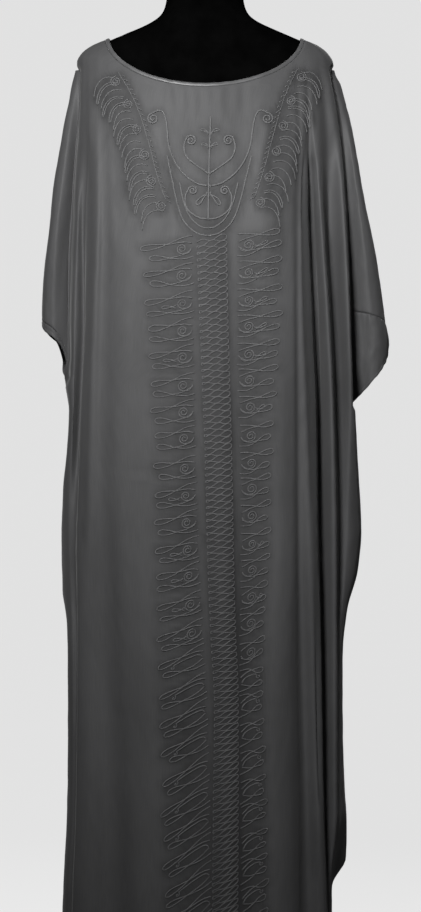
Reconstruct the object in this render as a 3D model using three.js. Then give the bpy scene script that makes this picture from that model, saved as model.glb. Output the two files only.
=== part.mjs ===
// A long, loose kaftan of plain dark cloth, worn by a limbless dress form on a pole and a round base.
// Sizes are in millimetres, +Z is up, the front faces -Y and +X is the viewer's right.
// The origin is the middle of the base's underside, on the floor.
import * as THREE from "three";

// Driving sizes
const CLOTH = 1.6; // thickness of the cloth wall
const SEAM_GAP = 0.3; // clear space between two sewn pieces
const CUFF_GAP = 0.45;
const WIDEST_SLANT = 0.9; // most that the seam's own slope may widen that gap, as a cosine
const HEM_Z = 60; // hem above the floor
const SHOULDER_Z = 1412; // end of the shoulder seam and top of the armhole
const SLEEVE_TOP_Z = 1407;
const NECK = { half: 148, top: 1451, frontDrop: 84, backDrop: 32 }; // seam line of the neck binding
const BINDING = { width: 6, proud: 0.6, under: 0.4 };
const ROUNDNESS = 2.4; // power of the superellipse that the cloth is wrapped round
const FORM_ROUNDNESS = 2.3;
const HANDLE = 0.42; // length of a Bezier handle, as a share of its span's length in its own direction
const SHORTEST_REACH = 0.25; // that length is at least this share of the span

// How many strips of faces each piece has across a span between two folds
const SPAN_FACES = { front: 3, back: 2, sleeve: 3 };
const FORM_SIDES = 32;

// Heights of the rows of points. Pieces sewn to each other have the same rows along their seam.
const YOKE_ROWS = [1438, 1425, SHOULDER_Z, SLEEVE_TOP_Z, 1399, 1386, 1373, 1360];
const ARMHOLE_ROWS = { count: 12, lowest: 968 };
const SKIRT_ROWS = [
  944, 935, 905, 895, 840, 780, 725, 675, 635, 600, 560, 480, 400, 325, 268, 225, 182, 120, HEM_Z,
];

// Front and back are one cut of cloth each, from neck to hem. The wall of each is made in two stretches that
// meet at this level, just below the underarms. The gap is upright, so it is wider than it is square to
// slanting cloth.
const PARTING = { z: 895, gap: 0.6 };

// Heights at which the tables below give each fold's place
const LEVELS = {
  shoulder: SHOULDER_Z,
  chest: 1303,
  bust: 1168,
  elbow: 1033,
  underarm: 900,
  hip: 718,
  thigh: 540,
  shin: 300,
  ankle: 190,
  hem: HEM_Z,
};

// The oval that the cloth follows before it is folded: half width to each side, and reach to the front
// and the back
const WRAP = [
  { z: 1451, left: 148, right: 148, front: 63, back: 68 },
  { z: 1441, left: 172, right: 172, front: 69, back: 76 },
  { z: 1430, left: 186, right: 185, front: 74, back: 82 },
  { z: 1418, left: 192, right: 192, front: 79, back: 87 },
  { z: 1400, left: 191, right: 194, front: 85, back: 92 },
  { z: 1370, left: 198, right: 208, front: 93, back: 99 },
  { z: 1303, left: 210, right: 222, front: 108, back: 106 },
  { z: 1213, left: 225, right: 237, front: 122, back: 110 },
  { z: 1123, left: 238, right: 255, front: 129, back: 114 },
  { z: 1033, left: 245, right: 269, front: 132, back: 118 },
  { z: 900, left: 238, right: 256, front: 134, back: 126 },
  { z: 718, left: 232, right: 246, front: 136, back: 134 },
  { z: 540, left: 220, right: 224, front: 138, back: 138 },
  { z: 300, left: 219, right: 224, front: 141, back: 143 },
  { z: 190, left: 222, right: 212, front: 143, back: 145 },
  { z: HEM_Z, left: 226, right: 210, front: 145, back: 148 },
];

// Folds of the front, from the left to the right. across is each fold's x and depth its way in from the
// oval, one value for each of LEVELS; hold is how far the cloth stays level with the fold before it turns
// to the next.
const FRONT_FOLDS = [
  {
    name: "left side crest",
    hold: 0.4,
    across: [-183, -184, -188, -192, -193, -202, -194, -196, -202, -205],
    depth: [0, 4, 12, 18, 24, 26, 10, 10, 10, 10],
  },
  {
    name: "left slot",
    hold: 0.35,
    across: [-176, -175, -180, -180, -185, -192, -188, -191, -196, -199],
    depth: [0, 5, 30, 40, 40, 28, 16, 12, 12, 12],
  },
  {
    name: "left panel edge",
    hold: 0.6,
    across: [-166, -164, -158, -164, -171, -177, -182, -185, -188, -190],
    depth: [0, 0, 0, 0, 0, 0, 2, 4, 4, 4],
  },
  {
    name: "left shallow trough",
    hold: 0.4,
    across: [-150, -149, -147, -148, -150, -146, -141, -135, -134, -134],
    depth: [0, 1, 3, 4, 6, 9, 15, 21, 23, 25],
  },
  {
    name: "left broad crest",
    hold: 0.5,
    across: [-130, -132, -128, -124, -121, -115, -104, -88, -84, -80],
    depth: [0, 0, 0, 0, 0, 0, 0, 0, 0, 0],
  },
  {
    name: "left scroll trough",
    hold: 0.4,
    across: [-85, -80, -75, -70, -66, -60, -52, -44, -40, -38],
    depth: [0, 1, 2, 3, 3, 4, 5, 6, 6, 7],
  },
  {
    name: "crease left of the lattice",
    hold: 0.35,
    across: [-38, -32, -22, -12, -6, 0, 5, 10, 11, 12],
    depth: [0, 1, 1, 1, 2, 5, 8, 9, 9, 9],
  },
  {
    name: "lattice crest",
    hold: 0.45,
    across: [-2, 2, 8, 14, 19, 25, 29, 31, 31, 31],
    depth: [0, 0, 0, 0, 0, 0, 0, 1, 1, 1],
  },
  {
    name: "trough right of the lattice",
    hold: 0.4,
    across: [36, 38, 41, 45, 48, 53, 59, 67, 69, 70],
    depth: [0, 1, 3, 4, 5, 8, 10, 12, 13, 14],
  },
  {
    name: "right panel crest",
    hold: 0.6,
    across: [124, 128, 122, 124, 125, 124, 119, 117, 118, 118],
    depth: [0, 0, -2, -2, -1, 0, 0, 0, 0, 0],
  },
  {
    name: "right shallow slot",
    hold: 0.35,
    across: [133, 138, 135, 134, 135, 137, 141, 148, 149, 150],
    depth: [0, 2, 3, 4, 6, 13, 23, 30, 31, 32],
  },
  {
    name: "right middle crest",
    hold: 0.5,
    across: [141, 145, 142, 143, 149, 154, 161, 167, 173, 176],
    depth: [0, 1, 3, 4, 4, 5, 7, 9, 10, 10],
  },
  {
    name: "right deep slot",
    hold: 0.3,
    across: [149, 152, 156, 163, 168, 170, 174, 178, 181, 183],
    depth: [0, 5, 34, 46, 56, 56, 48, 44, 36, 36],
  },
  {
    name: "right pipe crest",
    hold: 0.5,
    across: [157, 160, 169, 178, 185, 189, 191, 191, 184, 186],
    depth: [0, 0, 4, 8, 10, 14, 16, 18, 34, 36],
  },
  {
    name: "right second slot",
    hold: 0.3,
    across: [168, 180, 182, 189, 195, 200, 198, 198, 186, 188],
    depth: [0, 10, 38, 46, 46, 44, 30, 26, 40, 42],
  },
  {
    name: "right outer pipe crest",
    hold: 0.45,
    across: [181, 194, 203, 209, 214, 211, 201, 203, 188, 190],
    depth: [0, 2, 4, 6, 14, 30, 30, 30, 50, 52],
  },
];

// Folds of the back, from the left to the right
const BACK_FOLDS = [
  {
    name: "left outer pipe",
    hold: 0.45,
    across: [-180, -184, -192, -196, -193, -201, -188, -192, -198, -202],
    depth: [0, 2, 6, 8, 14, 26, 22, 20, 20, 20],
  },
  {
    name: "left outer slot",
    hold: 0.35,
    across: [-158, -160, -166, -170, -173, -176, -170, -168, -171, -173],
    depth: [0, 6, 22, 30, 34, 36, 34, 32, 32, 34],
  },
  {
    name: "left pipe",
    hold: 0.5,
    across: [-134, -136, -139, -142, -145, -148, -146, -146, -147, -148],
    depth: [0, 1, 2, 3, 3, 4, 4, 4, 4, 4],
  },
  {
    name: "left inner slot",
    hold: 0.4,
    across: [-96, -99, -104, -108, -111, -114, -115, -115, -115, -115],
    depth: [0, 2, 6, 10, 15, 22, 27, 31, 33, 35],
  },
  {
    name: "left inner pipe",
    hold: 0.5,
    across: [-52, -56, -61, -65, -68, -72, -75, -77, -78, -78],
    depth: [0, 0, 0, 0, 0, 0, 0, 0, 0, 0],
  },
  {
    name: "middle slot",
    hold: 0.4,
    across: [-6, -8, -11, -14, -17, -20, -23, -25, -26, -26],
    depth: [0, 1, 3, 6, 11, 18, 24, 28, 30, 32],
  },
  {
    name: "right inner pipe",
    hold: 0.5,
    across: [44, 42, 38, 35, 33, 30, 27, 25, 24, 24],
    depth: [0, 0, 0, 0, 0, 0, 0, 0, 0, 0],
  },
  {
    name: "right inner slot",
    hold: 0.4,
    across: [88, 87, 84, 82, 80, 78, 77, 76, 75, 75],
    depth: [0, 2, 6, 10, 14, 20, 25, 29, 31, 33],
  },
  {
    name: "right pipe",
    hold: 0.5,
    across: [130, 131, 130, 128, 127, 126, 125, 124, 122, 122],
    depth: [0, 1, 2, 2, 3, 3, 4, 4, 4, 4],
  },
  {
    name: "right outer slot",
    hold: 0.35,
    across: [158, 162, 167, 169, 169, 170, 166, 165, 156, 156],
    depth: [0, 6, 24, 32, 34, 36, 32, 30, 28, 28],
  },
  {
    name: "right outer pipe",
    hold: 0.45,
    across: [180, 191, 201, 206, 207, 210, 192, 196, 178, 178],
    depth: [0, 2, 6, 8, 12, 26, 24, 24, 26, 26],
  },
];

// Edges of the front and back on each side: the armhole seam down to the underarm, then the side seam.
// open is half the armhole's width, and turn the angle of the cloth, 90 where it runs straight from front
// to back.
const SIDE_SEAMS = {
  left: [
    { z: SHOULDER_Z, x: -191, y: 0, open: 0, turn: 90 },
    { z: 1400, x: -187, y: 0, open: 12, turn: 55 },
    { z: 1348, x: -188, y: 0, open: 24, turn: 15 },
    { z: 1303, x: -192, y: 0, open: 30, turn: 5 },
    { z: 1213, x: -198, y: 1, open: 37, turn: 0 },
    { z: 1123, x: -203, y: 2, open: 38, turn: 0 },
    { z: 1033, x: -204, y: 3, open: 37, turn: 0 },
    { z: 975, x: -205, y: 3, open: 32, turn: 10 },
    { z: 955, x: -210, y: 4, open: 22, turn: 15 },
    { z: 944, x: -210, y: 4, open: 13, turn: 30 },
    { z: 935, x: -209, y: 5, open: 0, turn: 90 },
    { z: 895, x: -202, y: 7, open: 0, turn: 90 },
    { z: 840, x: -204, y: 9, open: 0, turn: 90 },
    { z: 763, x: -211, y: 12, open: 0, turn: 90 },
    { z: 700, x: -215, y: 14, open: 0, turn: 90 },
    { z: 628, x: -213, y: 16, open: 0, turn: 90 },
    { z: 580, x: -200, y: 16, open: 0, turn: 90 },
    { z: 540, x: -198, y: 14, open: 0, turn: 90 },
    { z: 300, x: -204, y: 10, open: 0, turn: 90 },
    { z: 190, x: -210, y: 8, open: 0, turn: 90 },
    { z: HEM_Z, x: -214, y: 8, open: 0, turn: 90 },
  ],
  right: [
    { z: SHOULDER_Z, x: 191, y: 0, open: 0, turn: 90 },
    { z: 1400, x: 190, y: 0, open: 12, turn: 55 },
    { z: 1348, x: 200, y: 0, open: 26, turn: 15 },
    { z: 1303, x: 205, y: 0, open: 34, turn: 5 },
    { z: 1213, x: 211, y: 0, open: 40, turn: 0 },
    { z: 1123, x: 215, y: 1, open: 41, turn: 0 },
    { z: 1033, x: 218, y: 2, open: 40, turn: 0 },
    { z: 960, x: 219, y: 4, open: 34, turn: 5 },
    { z: 920, x: 220, y: 6, open: 20, turn: 12 },
    { z: 905, x: 220, y: 6, open: 10, turn: 30 },
    { z: 895, x: 221, y: 7, open: 0, turn: 90 },
    { z: 793, x: 231, y: 10, open: 0, turn: 90 },
    { z: 718, x: 235, y: 12, open: 0, turn: 90 },
    { z: 660, x: 230, y: 14, open: 0, turn: 90 },
    { z: 590, x: 207, y: 14, open: 0, turn: 90 },
    { z: 540, x: 203, y: 13, open: 0, turn: 90 },
    { z: 400, x: 205, y: 12, open: 0, turn: 90 },
    { z: 340, x: 209, y: 10, open: 0, turn: 90 },
    { z: 268, x: 213, y: 8, open: 0, turn: 90 },
    { z: 225, x: 212, y: 10, open: 0, turn: 90 },
    { z: 182, x: 190, y: 12, open: 0, turn: 90 },
    { z: HEM_Z, x: 192, y: 12, open: 0, turn: 90 },
  ],
};

// Outer edge of each hanging sleeve, and how far its front and back stand out from the middle plane
const SLEEVE_EDGES = {
  left: [
    { z: SHOULDER_Z, x: -193, front: 0, back: 0 },
    { z: 1400, x: -196, front: 7, back: 7 },
    { z: 1385, x: -200, front: 11, back: 11 },
    { z: 1357, x: -205, front: 18, back: 18 },
    { z: 1304, x: -215, front: 29, back: 28 },
    { z: 1226, x: -227, front: 42, back: 41 },
    { z: 1168, x: -233, front: 47, back: 46 },
    { z: 1108, x: -240, front: 46, back: 46 },
    { z: 1039, x: -244, front: 42, back: 44 },
    { z: 1020, x: -243, front: 41, back: 43 },
    { z: 925, x: -234, front: 34, back: 36 },
  ],
  right: [
    { z: SHOULDER_Z, x: 193, front: 0, back: 0 },
    { z: 1400, x: 196, front: 7, back: 7 },
    { z: 1385, x: 204, front: 11, back: 11 },
    { z: 1348, x: 213, front: 22, back: 22 },
    { z: 1303, x: 222, front: 35, back: 34 },
    { z: 1213, x: 237, front: 50, back: 48 },
    { z: 1123, x: 255, front: 54, back: 54 },
    { z: 1033, x: 269, front: 52, back: 54 },
    { z: 995, x: 274, front: 48, back: 50 },
    { z: 895, x: 274, front: 40, back: 42 },
  ],
};

// Height of each sleeve's cuff seam and hem, round from the front of the armhole (0) over the outer edge
// (0.5) to the back of the armhole (1)
const SLEEVE_ENDS = {
  left: [
    { round: 0, seam: 980, hem: 967 },
    { round: 0.083, seam: 1003, hem: 990 },
    { round: 0.25, seam: 1020, hem: 1007 },
    { round: 0.5, seam: 1038, hem: 1025 },
    { round: 0.75, seam: 1016, hem: 1003 },
    { round: 0.84, seam: 998, hem: 984 },
    { round: 0.92, seam: 970, hem: 956 },
    { round: 1, seam: 957, hem: 944 },
  ],
  right: [
    { round: 0, seam: 1044, hem: 906 },
    { round: 0.25, seam: 1037, hem: 945 },
    { round: 0.33, seam: 1032, hem: 962 },
    { round: 0.42, seam: 1025, hem: 979 },
    { round: 0.5, seam: 1018, hem: 993 },
    { round: 0.58, seam: 1025, hem: 980 },
    { round: 0.67, seam: 1032, hem: 964 },
    { round: 0.75, seam: 1037, hem: 948 },
    { round: 1, seam: 1044, hem: 910 },
  ],
};
const SLEEVE_CREST = 0.6; // place where front and back stand out furthest, from the armhole to the edge

// Dress form, as ovals from the top of the neck to the flat underside
const FORM = [
  { z: 1560, half: 44, front: 44, back: 44 },
  { z: 1557, half: 52, front: 52, back: 52 },
  { z: 1550, half: 56, front: 56, back: 56 },
  { z: 1513, half: 57, front: 56, back: 57 },
  { z: 1494, half: 62, front: 57, back: 60 },
  { z: 1483, half: 71, front: 58, back: 62 },
  { z: 1474, half: 86, front: 59, back: 63 },
  { z: 1465, half: 107.5, front: 60, back: 65 },
  { z: 1457, half: 127, front: 60, back: 67 },
  { z: 1449, half: 146, front: 61, back: 70 },
  { z: 1440, half: 167, front: 63, back: 74 },
  { z: 1430, half: 181.2, front: 67, back: 78 },
  { z: 1418, half: 186.3, front: 73, back: 82 },
  { z: 1395, half: 184.5, front: 80, back: 87 },
  { z: 1350, half: 181, front: 90, back: 94 },
  { z: 1303, half: 174, front: 100, back: 98 },
  { z: 1250, half: 166, front: 110, back: 99 },
  { z: 1200, half: 162, front: 116, back: 98 },
  { z: 1160, half: 158, front: 115, back: 95 },
  { z: 1100, half: 146, front: 106, back: 87 },
  { z: 1010, half: 127, front: 90, back: 76 },
  { z: 920, half: 148, front: 97, back: 97 },
  { z: 850, half: 163, front: 102, back: 107 },
  { z: 790, half: 167, front: 102, back: 107 },
  { z: 768, half: 165, front: 99, back: 104 },
  { z: 760, half: 158, front: 93, back: 98 },
];

// Stand
const POLE_RADIUS = 14;
const POLE_SIDES = 24;
const BASE = { radius: 160, thick: 12, bevel: 3, sides: 64 };

const COLOURS = { cloth: 0x4a4a4a, binding: 0x505050, form: 0x0b0b0b, steel: 0x2a2a2c };

// Value of one column of a table at a height, on a smooth curve that never overshoots its rows
function curve(rows, column, key = "z") {
  const sorted = [...rows].sort((a, b) => a[key] - b[key]);
  const at = sorted.map((r) => r[key]);
  const value = sorted.map((r) => r[column]);
  const slope = at.slice(1).map((a, i) => (value[i + 1] - value[i]) / (a - at[i]));
  const bend = value.map((_, i) => {
    if (i === 0 || i === value.length - 1) return slope[Math.min(i, slope.length - 1)];
    const [before, after] = [slope[i - 1], slope[i]];
    return before * after <= 0 ? 0 : (2 * before * after) / (before + after);
  });
  return (z) => {
    const place = Math.min(Math.max(z, at[0]), at[at.length - 1]);
    let i = 0;
    while (i < at.length - 2 && place > at[i + 1]) i += 1;
    const span = at[i + 1] - at[i];
    const t = (place - at[i]) / span;
    const rise = t * t * (3 - 2 * t);
    const start = t * (1 - t) * (1 - t) * span * bend[i];
    const end = t * t * (t - 1) * span * bend[i + 1];
    return value[i] + (value[i + 1] - value[i]) * rise + start + end;
  };
}

const levelHeights = Object.values(LEVELS);
const foldCurves = (folds) =>
  folds.map((fold) => {
    const rows = levelHeights.map((z, i) => ({ z, across: fold.across[i], depth: fold.depth[i] }));
    return { hold: fold.hold, across: curve(rows, "across"), depth: curve(rows, "depth") };
  });
const columnsOf = (rows, names, key) => Object.fromEntries(names.map((n) => [n, curve(rows, n, key)]));

const wrap = columnsOf(WRAP, ["left", "right", "front", "back"]);
const seams = {
  left: columnsOf(SIDE_SEAMS.left, ["x", "y", "open", "turn"]),
  right: columnsOf(SIDE_SEAMS.right, ["x", "y", "open", "turn"]),
};
const edges = {
  left: columnsOf(SLEEVE_EDGES.left, ["x", "front", "back"]),
  right: columnsOf(SLEEVE_EDGES.right, ["x", "front", "back"]),
};
const ends = {
  left: columnsOf(SLEEVE_ENDS.left, ["seam", "hem"], "round"),
  right: columnsOf(SLEEVE_ENDS.right, ["seam", "hem"], "round"),
};

const radians = THREE.MathUtils.degToRad;

// Heights from one to another in equal steps, without the first
const stepsTo = (from, to, count) =>
  Array.from({ length: count }, (_, i) => from + ((to - from) * (i + 1)) / count);
const yokeZ = YOKE_ROWS[YOKE_ROWS.length - 1];
const lowerRows = [...stepsTo(yokeZ, ARMHOLE_ROWS.lowest, ARMHOLE_ROWS.count), ...SKIRT_ROWS];
const seamRows = [NECK.top, ...YOKE_ROWS, ...lowerRows];

// Straight between rows, so that both sides of a seam follow one line
function alongRows(smooth) {
  return (z) => {
    const place = Math.min(Math.max(z, HEM_Z), NECK.top);
    let i = 0;
    while (i < seamRows.length - 2 && place < seamRows[i + 1]) i += 1;
    const [high, low] = [seamRows[i], seamRows[i + 1]];
    return THREE.MathUtils.mapLinear(place, high, low, smooth(high), smooth(low));
  };
}
for (const seam of Object.values(seams)) {
  for (const name of Object.keys(seam)) seam[name] = alongRows(seam[name]);
}

// Reach of the unfolded oval at one place across
function ovalReach(x, z, face) {
  const half = x < 0 ? wrap.left(z) : wrap.right(z);
  const share = Math.min(Math.abs(x) / half, 1);
  return wrap[face](z) * (1 - share ** ROUNDNESS) ** (1 / ROUNDNESS);
}

// Point of a panel's seam at one height, before its gap
function seamPoint(side, face, z) {
  const sign = side === "left" ? -1 : 1;
  if (z > SHOULDER_Z - 0.01) return new THREE.Vector3(sign * wrap[side](z), 0, z);
  const outward = face === "front" ? -1 : 1;
  return new THREE.Vector3(seams[side].x(z), seams[side].y(z) + outward * seams[side].open(z), z);
}

// Where the edges of two sewn pieces lie at one height: out is the direction from the panel across the seam,
// and gap the space along it that leaves SEAM_GAP square to the seam
function seamAt(side, face, z) {
  const sign = side === "left" ? -1 : 1;
  const angle = z > SHOULDER_Z - 0.01 ? Math.PI / 2 : radians(seams[side].turn(z));
  const out = new THREE.Vector2(sign * Math.cos(angle), (face === "front" ? 1 : -1) * Math.sin(angle));
  const [above, below] = [Math.min(z + 0.5, NECK.top), Math.max(z - 0.5, HEM_Z)];
  const along = seamPoint(side, face, above).sub(seamPoint(side, face, below)).normalize();
  const slant = Math.min(Math.abs(along.x * out.x + along.y * out.y), WIDEST_SLANT);
  const { x, y } = seamPoint(side, face, z);
  return { x, y, out, gap: SEAM_GAP / Math.sqrt(1 - slant * slant) };
}

// Edge of a panel at one height, and the direction in which the cloth crosses it, left to right
function seamAnchor(side, face, z) {
  const { x, y, out, gap } = seamAt(side, face, z);
  const direction = side === "left" ? out.clone().negate() : out;
  return { x: x - (out.x * gap) / 2, y: y - (out.y * gap) / 2, direction, hold: HANDLE };
}

// Everything that a panel's section runs through at one height: its left seam, its folds and its right seam
function panelAnchors(face, folds, z) {
  const outward = face === "front" ? -1 : 1;
  const level = Math.min(z, SHOULDER_Z);
  const anchors = [seamAnchor("left", face, z)];
  for (const fold of folds) {
    const shoulderX = fold.across(level);
    const side = shoulderX < 0 ? "left" : "right";
    const x = z > SHOULDER_Z ? (shoulderX * wrap[side](z)) / wrap[side](SHOULDER_Z) : shoulderX;
    anchors.push({ x, y: outward * (ovalReach(x, z, face) - fold.depth(level)), hold: fold.hold });
  }
  anchors.push(seamAnchor("right", face, z));
  return anchors;
}

// Anchors of one sleeve's section, round from the front of the armhole to the back
function sleeveAnchors(side, z) {
  const sign = side === "left" ? -1 : 1;
  const [start, end] = ["front", "back"].map((face) => {
    const { x, y, out, gap } = seamAt(side, face, z);
    const direction = face === "front" ? out : out.clone().negate();
    return { x: x + (out.x * gap) / 2, y: y + (out.y * gap) / 2, direction, hold: HANDLE };
  });
  const edge = sign * Math.max(sign * edges[side].x(z), sign * start.x + 0.8);
  const crest = start.x + (edge - start.x) * SLEEVE_CREST;
  return [
    start,
    { x: crest, y: -edges[side].front(z), hold: 0.5 },
    { x: edge, y: 0, direction: new THREE.Vector2(0, 1), hold: HANDLE },
    { x: crest, y: edges[side].back(z), hold: 0.5 },
    end,
  ];
}

// Point on a section: span counts the anchors passed and t runs from 0 to 1 in the span.
// At a fold the section runs halfway between the directions of the spans on both sides of it.
function onSection(anchors, span, t) {
  const points = anchors.map(({ x, y }) => new THREE.Vector2(x, y));
  const chord = (i) => points[i + 1].clone().sub(points[i]);
  const bisector = (i) => chord(i - 1).normalize().add(chord(i).normalize()).normalize();
  const directionOf = (i) => anchors[i].direction ?? bisector(i);
  const whole = chord(span);
  const handle = (i) => {
    const direction = directionOf(i);
    const reach = Math.max(whole.dot(direction), SHORTEST_REACH * whole.length());
    return direction.multiplyScalar(anchors[i].hold * reach);
  };
  const [from, to] = [points[span], points[span + 1]];
  const [leave, arrive] = [from.clone().add(handle(span)), to.clone().sub(handle(span + 1))];
  return new THREE.CubicBezierCurve(from, leave, arrive, to).getPoint(t);
}

// Height of the neck seam above a place across, on the front or the back
function neckHeight(x, face) {
  const drop = face === "front" ? NECK.frontDrop : NECK.backDrop;
  const share = Math.min(Math.abs(x) / NECK.half, 1);
  return NECK.top - drop * Math.sqrt(1 - share * share);
}

// A surface is { point(span, t, z), top(span, t), bottom(span, t), spans, outward }
function panelSurface(face, folds) {
  const point = (span, t, z) => {
    const p = onSection(panelAnchors(face, folds, z), span, t);
    return new THREE.Vector3(p.x, p.y, z);
  };
  const top = (span, t) => {
    const lowest = NECK.top - (face === "front" ? NECK.frontDrop : NECK.backDrop);
    let [low, high] = [lowest - 10, NECK.top];
    for (let i = 0; i < 40; i += 1) {
      const middle = (low + high) / 2;
      if (middle < neckHeight(point(span, t, middle).x, face)) low = middle;
      else high = middle;
    }
    return (low + high) / 2;
  };
  return { point, top, bottom: () => HEM_Z, spans: folds.length + 1, outward: face === "front" ? 1 : -1 };
}

const SLEEVE_SPANS = 4;
function sleeveSurface(side, topHeight, bottomHeight) {
  const point = (span, t, z) => {
    const p = onSection(sleeveAnchors(side, z), span, t);
    return new THREE.Vector3(p.x, p.y, z);
  };
  const round = (span, t) => (span + t) / SLEEVE_SPANS;
  return {
    point,
    top: (span, t) => topHeight(round(span, t)),
    bottom: (span, t) => bottomHeight(round(span, t)),
    spans: SLEEVE_SPANS,
    outward: side === "left" ? -1 : 1,
  };
}

// Upright gap that leaves CUFF_GAP square to a sloping cuff seam
function cuffGap(side, round) {
  const [before, after] = [Math.max(round - 0.04, 0), Math.min(round + 0.04, 1)].map((r) => {
    const span = Math.min(Math.floor(r * SLEEVE_SPANS), SLEEVE_SPANS - 1);
    const z = ends[side].seam(r);
    const { x, y } = onSection(sleeveAnchors(side, z), span, r * SLEEVE_SPANS - span);
    return new THREE.Vector3(x, y, z);
  });
  return (CUFF_GAP * after.distanceTo(before)) / Math.hypot(after.x - before.x, after.y - before.y);
}

// Grid of points over a surface, with the outward normal at each. rowsOf gives a column's heights from its
// top and bottom, and whether it is one of the two outermost columns.
function sample(surface, faces, rowsOf) {
  const columns = [];
  for (let span = 0; span < surface.spans; span += 1) {
    for (let i = 0; i < faces; i += 1) columns.push([span, i / faces]);
  }
  columns.push([surface.spans - 1, 1]);
  const small = 0.01;
  return columns.map(([span, t]) => {
    return rowsOf(surface.top(span, t), surface.bottom(span, t)).map((z) => {
      const p = surface.point(span, t, z);
      const before = surface.point(span, Math.max(t - small, 0), z);
      const across = surface.point(span, Math.min(t + small, 1), z).sub(before);
      const up = surface.point(span, t, Math.min(z + 1, NECK.top)).sub(surface.point(span, t, z - 1));
      return { p, n: across.cross(up).normalize().multiplyScalar(surface.outward) };
    });
  });
}

// Closed solid between two matching grids of points, the outer one first
function solidBetween(outer, inner, flip) {
  const [columns, rows] = [outer.length, outer[0].length];
  const positions = [];
  for (const { x, y, z } of [outer, inner].flat(2)) positions.push(x, y, z);
  const at = (layer, i, j) => layer * columns * rows + i * rows + j;
  const triangles = [];
  const quad = (a, b, c, d) => triangles.push(...(flip ? [a, c, b, a, d, c] : [a, b, c, a, c, d]));
  for (let i = 0; i < columns - 1; i += 1) {
    for (let j = 0; j < rows - 1; j += 1) {
      quad(at(0, i, j), at(0, i, j + 1), at(0, i + 1, j + 1), at(0, i + 1, j));
      quad(at(1, i, j), at(1, i + 1, j), at(1, i + 1, j + 1), at(1, i, j + 1));
    }
    quad(at(0, i, 0), at(0, i + 1, 0), at(1, i + 1, 0), at(1, i, 0));
    quad(at(0, i, rows - 1), at(1, i, rows - 1), at(1, i + 1, rows - 1), at(0, i + 1, rows - 1));
  }
  for (let j = 0; j < rows - 1; j += 1) {
    quad(at(0, 0, j), at(1, 0, j), at(1, 0, j + 1), at(0, 0, j + 1));
    quad(at(0, columns - 1, j), at(0, columns - 1, j + 1), at(1, columns - 1, j + 1), at(1, columns - 1, j));
  }
  const geometry = new THREE.BufferGeometry();
  geometry.setAttribute("position", new THREE.Float32BufferAttribute(positions, 3));
  geometry.setIndex(triangles);
  return geometry;
}

// Cloth wall over a grid
function clothWall(grid, outward) {
  const outer = grid.map((line) => line.map(({ p }) => p));
  const inner = grid.map((line) => line.map(({ p, n }) => p.clone().addScaledVector(n, -CLOTH)));
  return solidBetween(outer, inner, outward < 0);
}

// Closed tube of one section swept round a closed path of frames { p, out, up }
function ring(frames, section) {
  const positions = [];
  for (const { p, out, up } of frames) {
    for (const [along, proud] of section) {
      const corner = p.clone().addScaledVector(up, along).addScaledVector(out, proud);
      positions.push(corner.x, corner.y, corner.z);
    }
  }
  const [count, sides] = [frames.length, section.length];
  const triangles = [];
  for (let i = 0; i < count; i += 1) {
    for (let k = 0; k < sides; k += 1) {
      const [a, b] = [i * sides + k, i * sides + ((k + 1) % sides)];
      const [c, d] = [((i + 1) % count) * sides + k, ((i + 1) % count) * sides + ((k + 1) % sides)];
      triangles.push(a, c, d, a, d, b);
    }
  }
  const geometry = new THREE.BufferGeometry();
  geometry.setAttribute("position", new THREE.Float32BufferAttribute(positions, 3));
  geometry.setIndex(triangles);
  return geometry;
}

// Narrow strip that binds the neck edge, made from the top edges of the front and the back
function neckBinding(frontGrid, backGrid) {
  const inward = (grid) => grid.slice(1, -1).map((line) => line[0]);
  const [front, back] = [inward(frontGrid), inward(backGrid).reverse()];
  const level = ({ x, z }) => new THREE.Vector3(x, 0, z);
  const corner = ([{ p, n }]) => ({ p: level(p), n: level(n).normalize() });
  const edge = [corner(frontGrid[0]), ...front, corner(frontGrid[frontGrid.length - 1]), ...back];
  const frames = edge.map(({ p, n }, i) => {
    const before = edge[(i + edge.length - 1) % edge.length].p;
    const after = edge[(i + 1) % edge.length].p;
    const along = after.clone().sub(before).normalize();
    const out = n.clone().addScaledVector(along, -n.dot(along)).normalize();
    return { p, out, up: along.clone().cross(out).negate() };
  });
  const [low, high] = [SEAM_GAP, SEAM_GAP + BINDING.width];
  const [face, under] = [BINDING.proud, -CLOTH - BINDING.under];
  const section = [
    [low, face],
    [high, face],
    [high, under],
    [low, under],
  ];
  return ring(frames, section);
}

// Dress form: ovals joined from the neck down, closed at both ends
function formGeometry() {
  const rows = FORM.length;
  const positions = [];
  for (const { z, half, front, back } of FORM) {
    for (let k = 0; k < FORM_SIDES; k += 1) {
      const angle = (k / FORM_SIDES) * 2 * Math.PI;
      const [c, s] = [Math.cos(angle), Math.sin(angle)];
      const power = 2 / FORM_ROUNDNESS;
      const x = Math.sign(c) * half * Math.abs(c) ** power;
      const y = Math.sign(s) * (s < 0 ? front : back) * Math.abs(s) ** power;
      positions.push(x, y, z);
    }
  }
  const triangles = [];
  for (let j = 0; j < rows - 1; j += 1) {
    for (let k = 0; k < FORM_SIDES; k += 1) {
      const next = (k + 1) % FORM_SIDES;
      const [a, b] = [j * FORM_SIDES + k, j * FORM_SIDES + next];
      const [c, d] = [a + FORM_SIDES, b + FORM_SIDES];
      triangles.push(a, c, d, a, d, b);
    }
  }
  const last = (rows - 1) * FORM_SIDES;
  for (let k = 1; k < FORM_SIDES - 1; k += 1) {
    triangles.push(0, k, k + 1);
    triangles.push(last, last + k + 1, last + k);
  }
  const geometry = new THREE.BufferGeometry();
  geometry.setAttribute("position", new THREE.Float32BufferAttribute(positions, 3));
  geometry.setIndex(triangles);
  return geometry;
}

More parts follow.
